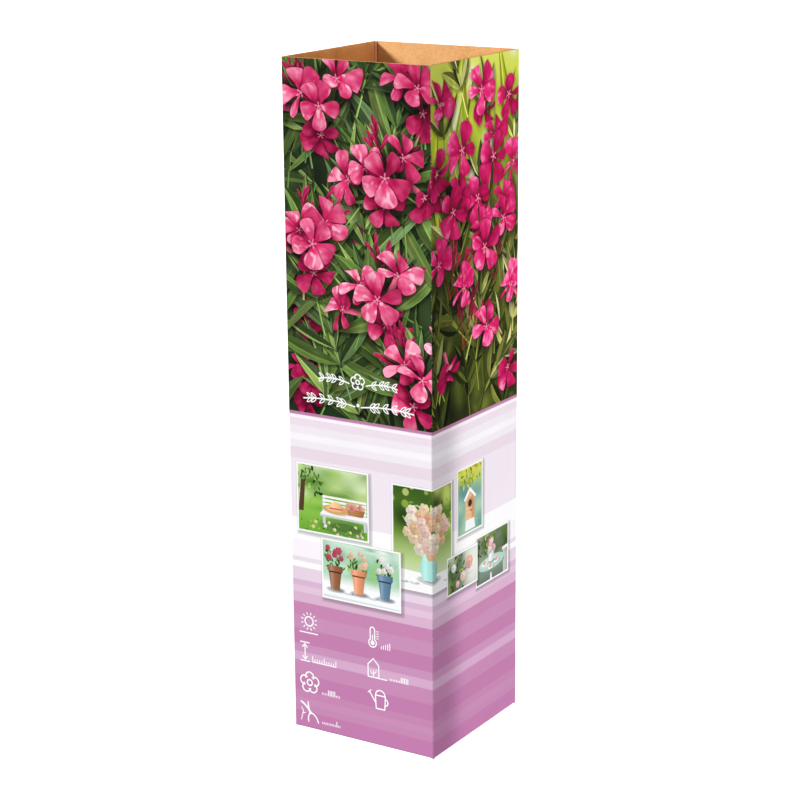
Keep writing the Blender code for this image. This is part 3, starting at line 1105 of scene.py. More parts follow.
# A round garden table with a jug of flowers, and a chair behind it.
def tableView(place, dice):
    far = darkGreens + [(150, 150, 130), (206, 200, 190)]
    view = startView(
        place, dice, [(0, (104, 122, 110)), (0.4, (150, 164, 140)), (1, (150, 160, 130))],
        dealt(dice, 18, (0, 1), (0.5, 1.0), (0.12, 0.14), far, 0.75),
    )
    wide, white = view["wide"], (246, 246, 244)
    addTinyLeaves(view, (0.1, 0.55), (0.6, 1.0), 46, (2.4, 4.4), darkGreens + leafyGreens)
    for u in (0.84, 0.88, 0.92, 0.96):
        addPatch(view, boxOutline(u, 0.0, u + 0.018, 0.5), white)
    addPatch(view, [(0.8, 0.48), (1.0, 0.5), (1.0, 0.56), (0.81, 0.54)], white)
    x, z = view["at"](0.47, 0.36)
    addRound(view, x, z - 1.2, 0.40 * wide, 26, 0.28, (120, 150, 142))
    addRound(view, x, z, 0.40 * wide, 26, 0.28, (186, 216, 206))
    addPatch(view, [(0.43, 0.0), (0.49, 0.0), (0.48, 0.16), (0.44, 0.16)], white)
    addSoftDisc(view, x - 3, z + 0.8, 0.26 * wide, (222, 238, 230), 0.7, 0.26)
    saucer, cup = (3.1, 14, 0.36, (250, 250, 248)), (1.7, 12, 0.8, (238, 170, 150))
    addCups(view, [(0.26, 0.38), (0.62, 0.34), (0.44, 0.27)], (4.0, 0.35), saucer, 1.0, cup)
    addContact(view, 0.48, 0.38, 4.4, 0.45)
    jug = [(0.05, 0.38), (0.09, 0.46), (0.07, 0.6)]
    addTurned(view, turnedOutline(0.47, jug), (226, 234, 236), 0.2)
    roses = [(248, 196, 200), (252, 240, 236), (226, 120, 150)]
    for number in range(9):
        u, v = 0.47 + dice.uniform(-0.10, 0.10), 0.68 + dice.uniform(-0.08, 0.12)
        addBloom(view, u, v, dice.uniform(2.0, 2.8), dice.choice(roses))


# materials

printLook = {"whiteness": 0.84, "specular": 0.06, "bump": 0.05, "bumpDepth": 0.0004}
paperLook = {
    "foldWidth": (0.007, 0.001),  # where the rubbed ink along a fold ends, as a share of a wall
    "rubbed": 0.55,
    "roughness": 0.34,
}
brownLook = {
    "dark": (200, 143, 87),
    "mid": (225, 173, 114),
    "pale": (237, 189, 131),
    "specular": 0.2,
    "bump": 0.25,
    "bumpDepth": 0.0003,
}


def startMaterial(name):
    material = bpy.data.materials.new(name)
    material.use_nodes = True
    return material, material.node_tree, material.node_tree.nodes["Principled BSDF"]


# Starts a shader group from the names and kinds of its sockets, and gives what comes into it.
def startGroup(name, inputs, outputs):
    tree = bpy.data.node_groups.new(name, "ShaderNodeTree")
    for way, sockets in (("INPUT", inputs), ("OUTPUT", outputs)):
        for socket, kind in sockets.items():
            tree.interface.new_socket(socket, in_out=way, socket_type="NodeSocket" + kind)
    return tree, addNode(tree, "NodeGroupInput").outputs


def finishMaterial(tree, shader, colour, roughness, height, look):
    bumps = addNode(tree, "ShaderNodeBump", {
        "Height": height, "Strength": look["bump"], "Distance": look["bumpDepth"],
    })
    tree.links.new(colour, shader.inputs["Base Color"])
    tree.links.new(roughness, shader.inputs["Roughness"])
    tree.links.new(bumps.outputs["Normal"], shader.inputs["Normal"])
    shader.inputs["Specular IOR Level"].default_value = look["specular"]


# What the coated, printed paper adds to any colour: a little uneven ink, the flutes showing
# through, and rubbed ink along the folds.
def makeCoatedPaper():
    tree, given = startGroup(
        "coatedPaper", {"Color": "Color"}, {"Color": "Color", "Roughness": "Float", "Height": "Float"}
    )
    across = partsOf(tree, addNode(tree, "ShaderNodeUVMap", uv_map="sheet").outputs[0])[0]
    wholeAt = addNode(tree, "ShaderNodeTexCoord").outputs["Object"]
    grain = noiseAt(tree, wholeAt, 1500, 3)
    cloud = noiseAt(tree, wholeAt, 45, 2)
    uneven = plus(tree, weighted(tree, (grain, 0.05), (cloud, 0.05)), 0.95)
    inked = tinted(tree, given["Color"], grey(tree, uneven))
    # the sheet map counts one to a wall, so its whole numbers are the corner folds
    fromFold = absolute(tree, minus(tree, maths(tree, "FRACT", plus(tree, across, 0.5)), 0.5))
    onFold = between(tree, fromFold, *paperLook["foldWidth"])
    specks = between(tree, noiseAt(tree, wholeAt, 420, 4, 0.7), 0.52, 0.72)
    worn = times(tree, onFold, specks, paperLook["rubbed"])
    flute = maths(tree, "SINE", times(tree, across, 2 * math.pi * side / flutes["pitch"]))
    addNode(tree, "NodeGroupOutput", {
        "Color": mixColours(tree, worn, inked, inkOf(236, 226, 222)),
        "Roughness": plus(tree, weighted(tree, (cloud, 0.16), (worn, 0.3)), paperLook["roughness"]),
        "Height": weighted(tree, (flute, 0.5), (grain, 0.35)),
    })
    return tree


# A printed material: a shape's plain ink, or what a drawing makes of that and the places in it.
def makePrinted(name, drawing=None, **values):
    material, tree, shader = startMaterial(name)
    ink = addNode(tree, "ShaderNodeAttribute", attribute_name="ink").outputs["Color"]
    colour = tinted(tree, ink, (printLook["whiteness"],) * 3)
    if drawing:
        place = addNode(tree, "ShaderNodeAttribute", attribute_name="place").outputs["Vector"]
        colour = drawing(tree, colour, *partsOf(tree, place), **values)
    paper = addNode(tree, "ShaderNodeGroup", {"Color": colour}, node_tree=coatedPaper).outputs
    finishMaterial(tree, shader, paper["Color"], paper["Roughness"], paper["Height"], printLook)
    return material


# A petal is deep in colour at its throat and where it turns from the light, pale and silky
# where it curls up to it, and finely veined along its length.
def drawPetal(tree, ink, along, across, seed, stops, silk):
    light = addNode(tree, "ShaderNodeSeparateColor", {"Color": ink}).outputs["Red"]
    light = maths(tree, "DIVIDE", light, printLook["whiteness"])
    drift = vectorOf(tree, times(tree, along, 1.3), times(tree, across, 2.0), seed)
    veinAt = vectorOf(tree, times(tree, along, 0.8), times(tree, across, 13), seed)
    folds, veins = noiseAt(tree, drift, 1.5, 1.5), noiseAt(tree, veinAt, 2.0, 2)
    fromThroat = between(tree, along, 0.0, 0.75)
    tone = weighted(tree, (folds, 0.95), (fromThroat, 0.34), (veins, 0.14), (light, 0.62))
    colour = rampOf(tree, between(tree, tone, 0.62, 1.72), stops)
    gleam = between(tree, noiseAt(tree, drift, 2.3, 0.5), 0.56, 0.70)
    gleam = times(tree, gleam, between(tree, light, 0.72, 1.0))
    colour = washed(tree, colour, (gleam, silk, inkOf(255, 216, 228)))
    return tinted(tree, colour, mixColours(tree, 0.62, (0.9, 0.9, 0.9), ink))


# A leaf has a pale rib and edge, slanting side veins, and a soft gloss along each half.
def drawLeaf(tree, ink, along, across, seed):
    apart = absolute(tree, across)
    veinAt = minus(tree, times(tree, along, 46), times(tree, apart, 5))
    veins = maths(tree, "SINE", times(tree, veinAt, 2 * math.pi))
    streakAt = vectorOf(tree, times(tree, along, 2.5), times(tree, across, 1.6), seed)
    streak = noiseAt(tree, streakAt, 2.0, 2)
    light = plus(tree, weighted(tree, (veins, 0.05), (streak, 1.25)), 0.42)
    paler = tinted(tree, ink, (2.3, 2.0, 1.9))
    glossy = tinted(tree, ink, (3.2, 2.9, 3.4))
    rib, rim = between(tree, apart, 0.17, 0.05), between(tree, apart, 0.82, 0.97)
    gleam = between(tree, streak, 0.62, 0.78)
    colour = tinted(tree, ink, grey(tree, light))
    return washed(tree, colour, (rib, 0.75, paler), (rim, 0.35, paler), (gleam, 0.35, glossy))


# A bud is wound round in stripes, and paler towards its tip.
def drawBud(tree, ink, along, across, seed):
    stripe = maths(tree, "FRACT", weighted(tree, (across, 3.4), (along, 1.6)))
    colour = rampOf(tree, weighted(tree, (stripe, 0.45), (along, 0.5)), [
        (0.05, (96, 16, 40)), (0.35, (170, 26, 78)), (0.7, (220, 60, 120)), (1.0, (244, 130, 165)),
    ])
    return tinted(tree, colour, ink)


# A stem is lit along one side.
def drawStem(tree, ink, along, across, seed):
    return tinted(tree, ink, grey(tree, between(tree, across, 1.0, -0.6, 0.45, 1.5)))


# Brown paper: dark and pale fibres, drawn out as far as the material asks, and broad clouds.
def makeBrownPaper():
    tree, given = startGroup(
        "brownPaper", {"Stretch": "Vector"}, {"Color": "Color", "Fibres": "Float", "Clouds": "Float"}
    )
    at = addNode(tree, "ShaderNodeTexCoord").outputs["Object"]
    drawnOut = addNode(tree, "ShaderNodeMapping", {"Vector": at, "Scale": given["Stretch"]}).outputs[0]
    fibres = noiseAt(tree, drawnOut, 2600, 4, 0.65)
    clouds = noiseAt(tree, at, 60, 3)
    tone = between(tree, weighted(tree, (fibres, 0.75), (clouds, 0.35)), 0.3, 0.82)
    stops = [(0.0, brownLook["dark"]), (0.5, brownLook["mid"]), (1.0, brownLook["pale"])]
    colour = rampOf(tree, tone, stops)
    addNode(tree, "NodeGroupOutput", {"Color": colour, "Fibres": fibres, "Clouds": clouds})
    return tree


# widths of the painted shade in the inner corner creases and of the painted highlight on the bead
creases = {
    "middle": 0.00145,  # how far from the wall the painted shade line beside a bead is
    "line": (0.0005, 0.0002),
    "bead": (0.0011, 0.0008),
    "seam": (0.092, 0.088),  # what x and y add up to near the glued corner, which has none
}


# Bare brown board: long fibres, dark specks, and the flutes showing faintly through.
def makeBrownBoard():
    material, tree, shader = startMaterial("brownBoard")
    paper = addNode(tree, "ShaderNodeGroup", {"Stretch": (0.3, 0.3, 1.0)}, node_tree=brownPaper).outputs
    at = addNode(tree, "ShaderNodeTexCoord").outputs["Object"]
    x, y, z = partsOf(tree, at)
    specks = between(tree, noiseAt(tree, at, 1900, 1), 0.68, 0.76)
    colour = washed(tree, paper["Color"], (specks, 0.25, inkOf(112, 70, 38)))
    # painted shade: on the two side walls the liner is made darker and warmer, standing in for the
    # deeper, redder shade that falls on them
    across = partsOf(tree, addNode(tree, "ShaderNodeNewGeometry").outputs["Normal"])[0]
    sideWallShade = between(tree, absolute(tree, across), 0.5, 0.9)
    colour = mixColours(tree, sideWallShade, colour, tinted(tree, colour, (1.0, 0.79, 0.62)))
    # in the folded corners the creases are darkened with painted shade, and the bead between them is
    # lightened with a painted highlight
    inner = (carton["half"] - carton["board"]) * mm
    fromWall = minus(tree, inner, maths(tree, "MINIMUM", absolute(tree, x), absolute(tree, y)))
    diagonal = plus(tree, x, y)
    isFolded = between(tree, diagonal, *creases["seam"])
    fromLine = absolute(tree, minus(tree, fromWall, creases["middle"]))
    line = times(tree, between(tree, fromLine, *creases["line"]), isFolded)
    bead = times(tree, between(tree, fromWall, *creases["bead"]), isFolded)
    # painted shade on the crease lines, painted highlight on the bead
    colour = washed(tree, colour, (line, 0.6, inkOf(112, 56, 24)), (bead, 0.7, inkOf(244, 196, 148)))
    flute = maths(tree, "SINE", times(tree, diagonal, 2 * math.pi / (flutes["pitch"] * mm)))
    height = weighted(tree, (paper["Fibres"], 0.5), (flute, 0.25))
    roughness = between(tree, paper["Fibres"], 0.2, 0.8, 0.95, 0.8)
    finishMaterial(tree, shader, colour, roughness, height, brownLook)
    return material


# folding the printed sheets

def foldEnd(wall, hand):
    # how a wall's sheet ends: folded half round a corner, cut off flat, or tucked behind its neighbour
    if wall == "right" and hand > 0:
        return "flat"
    return "tucked" if wall == "back" and hand < 0 else "corner"


def foldCentre(wall, hand):
    tuck = carton["board"] if foldEnd(wall, hand) == "tucked" else 0
    return carton["half"] - carton["foldRadius"] - tuck


# Turns a place at the front wall round to the same place at another wall.
def turnedTo(wall, x, y):
    quarter = walls.index(wall) * math.pi / 2
    c, s = math.cos(quarter), math.sin(quarter)
    return x * c - y * s, x * s + y * c


# Carries points of the flat sheet to their place on the carton.
def folded(wall, along, up, depth):
    half, radius = carton["half"], carton["foldRadius"]
    across, out, height = np.abs(along), half - depth, up
    down = ((radius - up) / radius).clip(0, math.pi / 2)
    for hand in (-1, 1):
        end, centre = foldEnd(wall, hand), foldCentre(wall, hand)
        mine, past = along * hand > 0, np.abs(along) - centre
        bent = mine & (past > 0) & (end != "flat")
        turn = (past / radius * (math.pi / 4 if end == "corner" else 1)).clip(0, math.pi / 2)
        tucked = (past - radius * math.pi / 2).clip(0) * 0.2 * (end == "tucked")  # cut short there
        across = np.where(bent, centre + (radius - depth) * np.sin(turn), across)
        out = np.where(bent, half - radius + (radius - depth) * np.cos(turn) - tucked, out)
        low = mine & ~bent & (up < radius) & (np.abs(along) < tabEnd(wall, hand) + carton["slit"] / 2)
        under = (radius - up - radius * math.pi / 2).clip(0)
        height = np.where(low, radius - (radius - depth) * np.sin(down), height)
        out = np.where(low, half - radius + (radius - depth) * np.cos(down) - under, out)
    return np.stack([*turnedTo(wall, np.sign(along) * across, -out), height], 1) * mm


# Where the cut beside a corner starts, below which the sheet is folded under the base.
def tabEnd(wall, hand):
    return foldCentre(wall, hand) - carton["slit"]


def sheetLow():
    return carton["foldRadius"] * (1 - math.pi / 2) - carton["underFold"]


def wallOutline(wall):
    half, radius, slit = carton["half"], carton["foldRadius"], carton["slit"]
    outline = []
    for hand in (1, -1):
        end = tabEnd(wall, hand)
        corner = [
            (end, sheetLow()), (end, radius), (end + slit, radius), (end + slit, 0), (half, 0),
            (half, carton["height"]),
        ]
        corner = [(hand * x, z) for x, z in corner]
        outline += corner if hand > 0 else corner[::-1]
    return outline


def cornerFolds(wall):
    steps, radius = carton["foldSteps"], carton["foldRadius"]
    folds = []
    for hand in (-1, 1):
        end = foldEnd(wall, hand)
        reach = radius * (math.pi / 2 if end == "tucked" else 1)
        count = 2 * steps if end == "tucked" else steps
        if end != "flat":
            last = count + (end == "tucked")
            folds += [hand * (foldCentre(wall, hand) + reach * step / count) for step in range(last)]
    return folds


def baseFolds():
    steps, radius = carton["foldSteps"], carton["foldRadius"]
    return [radius - radius * math.pi / 2 * step / steps for step in range(steps + 1)]


# The split can take the outside of an outline for its inside where others run along its edge.
# An outline that then holds triangles beyond its own box is worked out again by itself.
def mended(outlines, middles, covers):
    outlines = [np.array(outline, float) for outline in outlines]
    lows = np.array([outline.min(0) for outline in outlines])
    highs = np.array([outline.max(0) for outline in outlines])
    pairs = [(number, index) for number, cover in enumerate(covers) for index in cover]
    numbers, indices = np.array(pairs).T
    slack = 0.01
    beyond = (middles[numbers] < lows[indices] - slack) | (middles[numbers] > highs[indices] + slack)
    for index in np.unique(indices[beyond.any(1)]).tolist():
        for number in numbers[indices == index]:
            covers[number].remove(index)
        near = np.flatnonzero(((middles > lows[index]) & (middles < highs[index])).all(1))
        for number in near[farFrom(outlines[index], middles[near]) == 0]:
            covers[number].append(index)
        print("worked out again: outline", index)


# Splits the plane into triangles that no outline or line crosses. It gives those in the first
# outline, with each one's middle and the outlines that it lies in, in their order.
def splitBy(outlines, lines, spots):
    coords, edges, faces = [], [], []

    def addPoints(points):
        first = len(coords)
        coords.extend(Vector(point) for point in points)
        return list(range(first, len(coords)))

    for outline in outlines:
        faces.append(addPoints(outline))
    for line in lines:
        numbers = addPoints(line)
        edges += list(zip(numbers, numbers[1:]))
    addPoints(spots)
    found = delaunay_2d_cdt(coords, edges, faces, 0, 1e-4)
    points, triangles, covers = np.array([point[:] for point in found[0]]), np.array(found[2]), found[5]
    middles = points[triangles].mean(1)
    mended(outlines, middles, covers)
    kept = [number for number, cover in enumerate(covers) if 0 in cover]
    covers = [sorted(covers[number]) for number in kept]
    return points, triangles[kept], middles[kept].tolist(), covers


def flatMesh(name, points, triangles):
    used, corners = np.unique(triangles, return_inverse=True)
    mesh = bpy.data.meshes.new(name)
    flat = np.hstack([points[used], np.zeros((len(used), 1))])
    mesh.from_pydata(flat.tolist(), [], corners.reshape(-1, 3).tolist())
    return mesh


def readMesh(items, name, size, kind=float):
    values = np.zeros(len(items) * size, kind)
    items.foreach_get(name, values)
    return values.reshape(-1, size) if size > 1 else values


# Joins neighbouring faces of one kind. Joining all kinds gives the edges that this leaves, and
# joining some gives the triangles. The rims that are folded keep all their edges.
def joined(wall, points, triangles, kinds, which=None):
    mesh = flatMesh("split", points, triangles)
    mesh.attributes.new("kind", "INT", "FACE").data.foreach_set("value", np.array(kinds, np.int32))
    work = bmesh.new()
    work.from_mesh(mesh)
    kindOf = work.faces.layers.int["kind"]
    ends = (-tabEnd(wall, -1) + 0.2, tabEnd(wall, 1) - 0.2)

    def keeps(vert):
        return not ends[0] < vert.co.x < ends[1] or vert.co.y < carton["foldRadius"] + 0.05

    inner = []
    for edge in work.edges:
        if len(edge.link_faces) == 2:
            one, two = (face[kindOf] for face in edge.link_faces)
            if one == two and (which is None or one in which and not any(keeps(v) for v in edge.verts)):
                inner.append(edge)
    bmesh.ops.dissolve_edges(work, edges=inner, use_verts=False, use_face_split=False)
    straight = []
    for vert in work.verts:
        if len(vert.link_edges) == 2 and not keeps(vert):
            a, b = (edge.other_vert(vert).co - vert.co for edge in vert.link_edges)
            if a.angle(-b, 1.0) < 0.01:
                straight.append(vert)
    bmesh.ops.dissolve_verts(work, verts=straight)
    if which is None:
        found = [[vert.co.xy for vert in edge.verts] for edge in work.edges]
    else:
        many = [face for face in work.faces if len(face.verts) > 3]
        bmesh.ops.triangulate(work, faces=many, quad_method="BEAUTY", ngon_method="BEAUTY")
        work.to_mesh(mesh)
        points = readMesh(mesh.vertices, "co", 3)[:, :2]
        triangles = readMesh(mesh.loops, "vertex_index", 1, int).reshape(-1, 3)
        found = points, triangles, readMesh(mesh.attributes["kind"].data, "value", 1, int)
    work.free()
    bpy.data.meshes.remove(mesh)
    return found


# The shapes that reach a wall, each with its place in the print and its shift to that wall.
def shapesOn(wall):
    half = carton["half"]
    placed = []
    for number, shape in enumerate(printed):
        for turn in (-around, 0, around):
            shift = turn - walls.index(wall) * side - half
            across = shape["outline"][:, 0] + shift
            if across.max() >= -half and across.min() <= half:
                placed.append((number, shape, shift))
    return placed


def splitShapes(wall, placed, lines=(), spots=()):
    outlines = [shape["outline"] + (shift, 0) for number, shape, shift in placed]
    return splitBy([wallOutline(wall)] + outlines, lines, spots)


def inWindow(placed, x, z):
    number, shape, shift = placed
    window = shape["window"]
    return not window or window[0] < x - shift < window[2] and window[1] < z < window[3]


# A wall's print, as triangles that each belong to one shape. The shapes alone are split first,
# and only the edges that show go on to the split with the shadows. Shapes are counted from 1.
def partition(wall):
    placed = shapesOn(wall)
    hiding = [each for each in placed if not each[1]["veil"]]
    veiling = [each for each in placed if each[1]["veil"]]
    points, triangles, middles, covers = splitShapes(wall, hiding)
    owners = []
    for middle, cover in zip(middles, covers):
        shown = [index for index in cover[1:] if inWindow(hiding[index - 1], *middle)]
        owners.append(max(shown, default=0))
    lookUp = BVHTree.FromPolygons([(x, z, 0) for x, z in points.tolist()], triangles.tolist())
    lines = [line + (shift, 0) for number, shape, shift in placed for line in shape["lines"]]
    lines += joined(wall, points, triangles, owners)
    lines += [[(along, 0), (along, carton["height"])] for along in cornerFolds(wall)]
    lines += [[(-tabEnd(wall, -1), up), (tabEnd(wall, 1), up)] for up in baseFolds()]
    start = walls.index(wall) * side
    spots = [(x - start - carton["half"], z) for x, z in looseSpots if start < x < start + side]
    points, triangles, middles, covers = splitShapes(wall, veiling, lines, spots)
    kinds, numbers = [], {}
    for (x, z), cover in zip(middles, covers):
        owner = owners[lookUp.find_nearest((x, z, 0))[2]]
        order = hiding[owner - 1][0] if owner else -1
        shades = [(index, veiling[index - 1]) for index in cover[1:]]
        above = tuple(index for index, shade in shades if shade[0] > order and inWindow(shade, x, z))
        kinds.append(numbers.setdefault((owner, above), len(numbers)))
    kindNames = list(numbers)
    plain = {
        kind for kind, (owner, above) in enumerate(kindNames)
        if owner and not above and hiding[owner - 1][1]["evenInk"]
    }
    points, triangles, kinds = joined(wall, points, triangles, kinds, plain)
    owners = np.array([owner for owner, above in kindNames])[kinds]
    veils = {}
    for number, kind in enumerate(kinds.tolist()):
        for index in kindNames[kind][1]:
            veils.setdefault(index, []).append(number)
    return points, triangles, owners, veils, hiding, veiling


def cornersOf(rows):
    return (np.array(rows)[:, None] * 3 + np.arange(3)).ravel()


# The colour and place at each corner, and each triangle's surface.
def paintPrint(points, triangles, owners, veils, hiding, veiling):
    at = points[triangles].reshape(-1, 2)
    ink, place = np.zeros((len(at), 3)), np.zeros((len(at), 3))
    surfaces = np.zeros(len(triangles), int)
    order = np.argsort(owners, kind="stable")
    for rows in np.split(order, np.flatnonzero(np.diff(owners[order])) + 1):
        if owners[rows[0]] == 0:
            continue
        number, shape, shift = hiding[owners[rows[0]] - 1]
        corners = cornersOf(rows)
        where = at[corners] - (shift, 0)
        ink[corners] = shape["paint"](where)
        if shape["place"]:
            place[corners] = shape["place"](where)
        surfaces[rows] = surfaceNames.index(shape["surface"])
    for index in sorted(veils):
        number, shape, shift = veiling[index - 1]
        corners = cornersOf(veils[index])
        colour, cover = shape["paint"](at[corners] - (shift, 0))
        ink[corners] += (colour - ink[corners]) * cover[:, None]
    return ink, place, surfaces


# Moves on what an extrusion has made.
def moveMade(work, made, offset):
    verts = [item for item in made["geom"] if isinstance(item, bmesh.types.BMVert)]
    bmesh.ops.translate(work, verts=verts, vec=offset)
    return verts


# Closes the flat print with a back, and creases that wherever the sheet is to be folded.
def closeSheet(wall, mesh):
    work = bmesh.new()
    work.from_mesh(mesh)
    rim = [edge for edge in work.edges if edge.is_boundary]
    lower = moveMade(work, bmesh.ops.extrude_edge_only(work, edges=rim), (0, 0, -carton["liner"]))
    ring = [edge for edge in work.edges if edge.is_boundary]
    geom = bmesh.ops.triangle_fill(work, edges=ring, use_beauty=False)["geom"] + ring + lower
    cuts = [((along, 0, 0), (1, 0, 0)) for along in cornerFolds(wall)]
    cuts += [((0, up, 0), (0, 1, 0)) for up in baseFolds()]
    for place, facing in cuts:
        cut = bmesh.ops.bisect_plane(work, geom=geom, dist=1e-5, plane_co=place, plane_no=facing)
        geom = cut["geom"]
    bmesh.ops.recalc_face_normals(work, faces=work.faces)
    bmesh.ops.triangulate(work, faces=[face for face in work.faces if len(face.verts) > 3])
    work.to_mesh(mesh)
    work.free()


bakeMap = {
    "split": stripes["tops"][1][0],  # the height at which the picture half starts
    "low": -3,
    "foot": 0.01,
    "tall": 0.98,
    "left": {"striped": 0.005, "picture": 0.495, "bare": 0.984},
    "width": {"printed": 0.475, "bare": 0.012},
}


# Where a point of the flat sheet lies on the bake's map: the picture half of the wall is beside
# the striped half, and the unprinted back and edges are in a narrow strip.
def bakePlace(along, up, isPrinted, upper):
    lefts, widths = bakeMap["left"], bakeMap["width"]
    left = np.where(isPrinted, np.where(upper, lefts["picture"], lefts["striped"]), lefts["bare"])
    width = np.where(isPrinted, widths["printed"], widths["bare"])
    low = np.where(isPrinted & upper, bakeMap["split"], bakeMap["low"])
    high = np.where(isPrinted & ~upper, bakeMap["split"], carton["height"])
    v = bakeMap["foot"] + bakeMap["tall"] * (up - low) / (high - low)
    return np.stack([left + width * (along + carton["half"]) / side, v], 1)


# Lays out the maps of the sheet while it is flat. Its back and edges are bare board.
def layMaps(mesh):
    corners = readMesh(mesh.vertices, "co", 3)[readMesh(mesh.loops, "vertex_index", 1, int)]
    faces = corners.reshape(-1, 3, 3)
    isPrinted = faces[:, :, 2].min(1) > -1e-4
    upper = faces[:, :, 1].mean(1) > bakeMap["split"]
    surfaces = readMesh(mesh.polygons, "material_index", 1, int)
    surfaces[~isPrinted] = len(surfaceNames)
    mesh.polygons.foreach_set("material_index", surfaces.astype(np.int32))
    along, up = corners[:, 0], corners[:, 1]
    maps = {
        "sheet": np.stack([(along + carton["half"]) / side, up / side], 1),
        "OFBake": bakePlace(along, up, isPrinted.repeat(3), upper.repeat(3)),
    }
    for name, values in maps.items():
        mesh.uv_layers.new(name=name).data.foreach_set("uv", values.astype(np.float32).ravel())


def makePrintedWall(wall):
    points, triangles, *owned = partition(wall)
    ink, place, surfaces = paintPrint(points, triangles, *owned)
    mesh = flatMesh(wall + "_print", points, triangles)
    mesh.polygons.foreach_set("material_index", surfaces.astype(np.int32))
    inks = mesh.attributes.new("ink", "FLOAT_COLOR", "CORNER").data
    inks.foreach_set("color", np.hstack([ink, np.ones((len(ink), 1))]).astype(np.float32).ravel())
    places = mesh.attributes.new("place", "FLOAT_VECTOR", "CORNER").data
    places.foreach_set("vector", place.astype(np.float32).ravel())
    closeSheet(wall, mesh)
    layMaps(mesh)
    along, up, above = readMesh(mesh.vertices, "co", 3).T
    mesh.vertices.foreach_set("co", folded(wall, along, up, -above).ravel())
    mesh.update()
    for name in surfaceNames:
        mesh.materials.append(surfaceMaterials[name])
    mesh.materials.append(brownBoard)
    addPiece(wall + "_print", mesh, "printed_board", wall + "_wall")
    print(wall, "print:", len(mesh.polygons), "faces")


def addPiece(name, mesh, slot, *nodes):
    piece = bpy.data.objects.new(name, mesh)
    bpy.context.scene.collection.objects.link(piece)
    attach(piece, "root")
    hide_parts(*nodes)


# the flutes and the brown liner behind the print, as one strip from the cut end of the right wall
# round the front, left and back walls

def wallPoint(wall, along, out):
    return turnedTo(wall, along, -out)


def meshOf(work, name, material):
    bmesh.ops.recalc_face_normals(work, faces=work.faces)
    mesh = bpy.data.meshes.new(name)
    work.to_mesh(mesh)
    work.free()
    mesh.materials.append(material)
    return mesh


# A thin strip that stands on a line of points, given in millimetres.
def addStrip(name, path, low, high, thickness):
    work = bmesh.new()
    line = [work.verts.new((x * mm, y * mm, low * mm)) for x, y in path]
    edges = [work.edges.new(pair) for pair in zip(line, line[1:])]
    moveMade(work, bmesh.ops.extrude_edge_only(work, edges=edges), (0, 0, (high - low) * mm))
    bmesh.ops.solidify(work, geom=list(work.faces), thickness=thickness * mm)
    wallNodes = [wall + "_wall" for wall in walls]
    addPiece(name, meshOf(work, name, brownBoard), "brown_board", *wallNodes)


innerLiner = {
    "low": 0.25,
    "crease": [(2.1, 0), (1.7, 0.06), (1.35, 0.3)],  # how far from the corner, and how deep
    "bead": 1.06,  # radius of the bead that the crease raises in each inner corner
    "beadCentre": 0.25,  # how far inside the board it lies
    "steps": 6,
    "endGap": 0.05,
}


def linerPath():
    inner = carton["half"] - carton["board"]
    centre = inner + innerLiner["beadCentre"]
    halfCorner = [(inner - back, inner + deep) for back, deep in innerLiner["crease"]]
    for step in range(innerLiner["steps"] + 1):
        turn = math.pi / 4 * step / innerLiner["steps"]
        reach = innerLiner["bead"]
        halfCorner.append((centre - reach * math.cos(turn), centre - reach * math.sin(turn)))
    path = [wallPoint("right", carton["half"] - innerLiner["endGap"], inner)]
    for wall in ("right", "front", "left", "back"):
        if foldEnd(wall, 1) == "corner":
            path += [wallPoint(wall, along, out) for along, out in halfCorner[-2::-1]]
        if foldEnd(wall, -1) == "corner":
            path += [wallPoint(wall, -along, out) for along, out in halfCorner]
    path.append(wallPoint("back", -inner + innerLiner["endGap"], inner))
    return path


flutes = {
    "pitch": 3.4,
    "paper": 0.15,
    "pointsEach": 12,
    "low": 1.4,
    "recess": 0.06,  # how far below the rim they are cut
    "crushed": 1.8,  # how far from a fold they are pressed flat
    "leftOver": 0.15,  # what is left of their height at the fold
    "foldGap": 2.4,  # from the corner to where they stop beside a fold
    "cutGap": 0.15,
    "tuckGap": 0.3,
    "cornerCut": 0.1,
}


def flutePath():
    room = carton["board"] - 2 * carton["liner"] - flutes["paper"]
    middle = carton["half"] - carton["board"] / 2
    ends = {
        "flat": carton["half"] - flutes["cutGap"],
        "tucked": carton["half"] - carton["board"] - flutes["tuckGap"],
        "corner": carton["half"] - flutes["foldGap"],
    }
    step = flutes["pitch"] / flutes["pointsEach"]
    path = []
    for wall in ("right", "front", "left", "back"):
        start, stop = (ends[foldEnd(wall, hand)] for hand in (1, -1))
        count = int((start + stop) / step)
        for number in range(count + 1):
            along = start - (start + stop) * number / count
            fades = [1.0]
            if foldEnd(wall, 1) == "corner":
                fades.append((start - along) / flutes["crushed"] + flutes["leftOver"])
            if foldEnd(wall, -1) == "corner":
                fades.append((along + stop) / flutes["crushed"] + flutes["leftOver"])
            wave = min(fades) * room / 2 * math.cos(2 * math.pi * along / flutes["pitch"])
            path.append(wallPoint(wall, along, middle + wave))
        if foldEnd(wall, -1) == "corner":
            path.append(wallPoint(wall, flutes["cornerCut"] - middle, middle - flutes["cornerCut"]))
    return path


# the strip glued behind the right wall

glueStrip = {"taper": 7.0, "edge": 0.25, "towardsFold": 0.28}


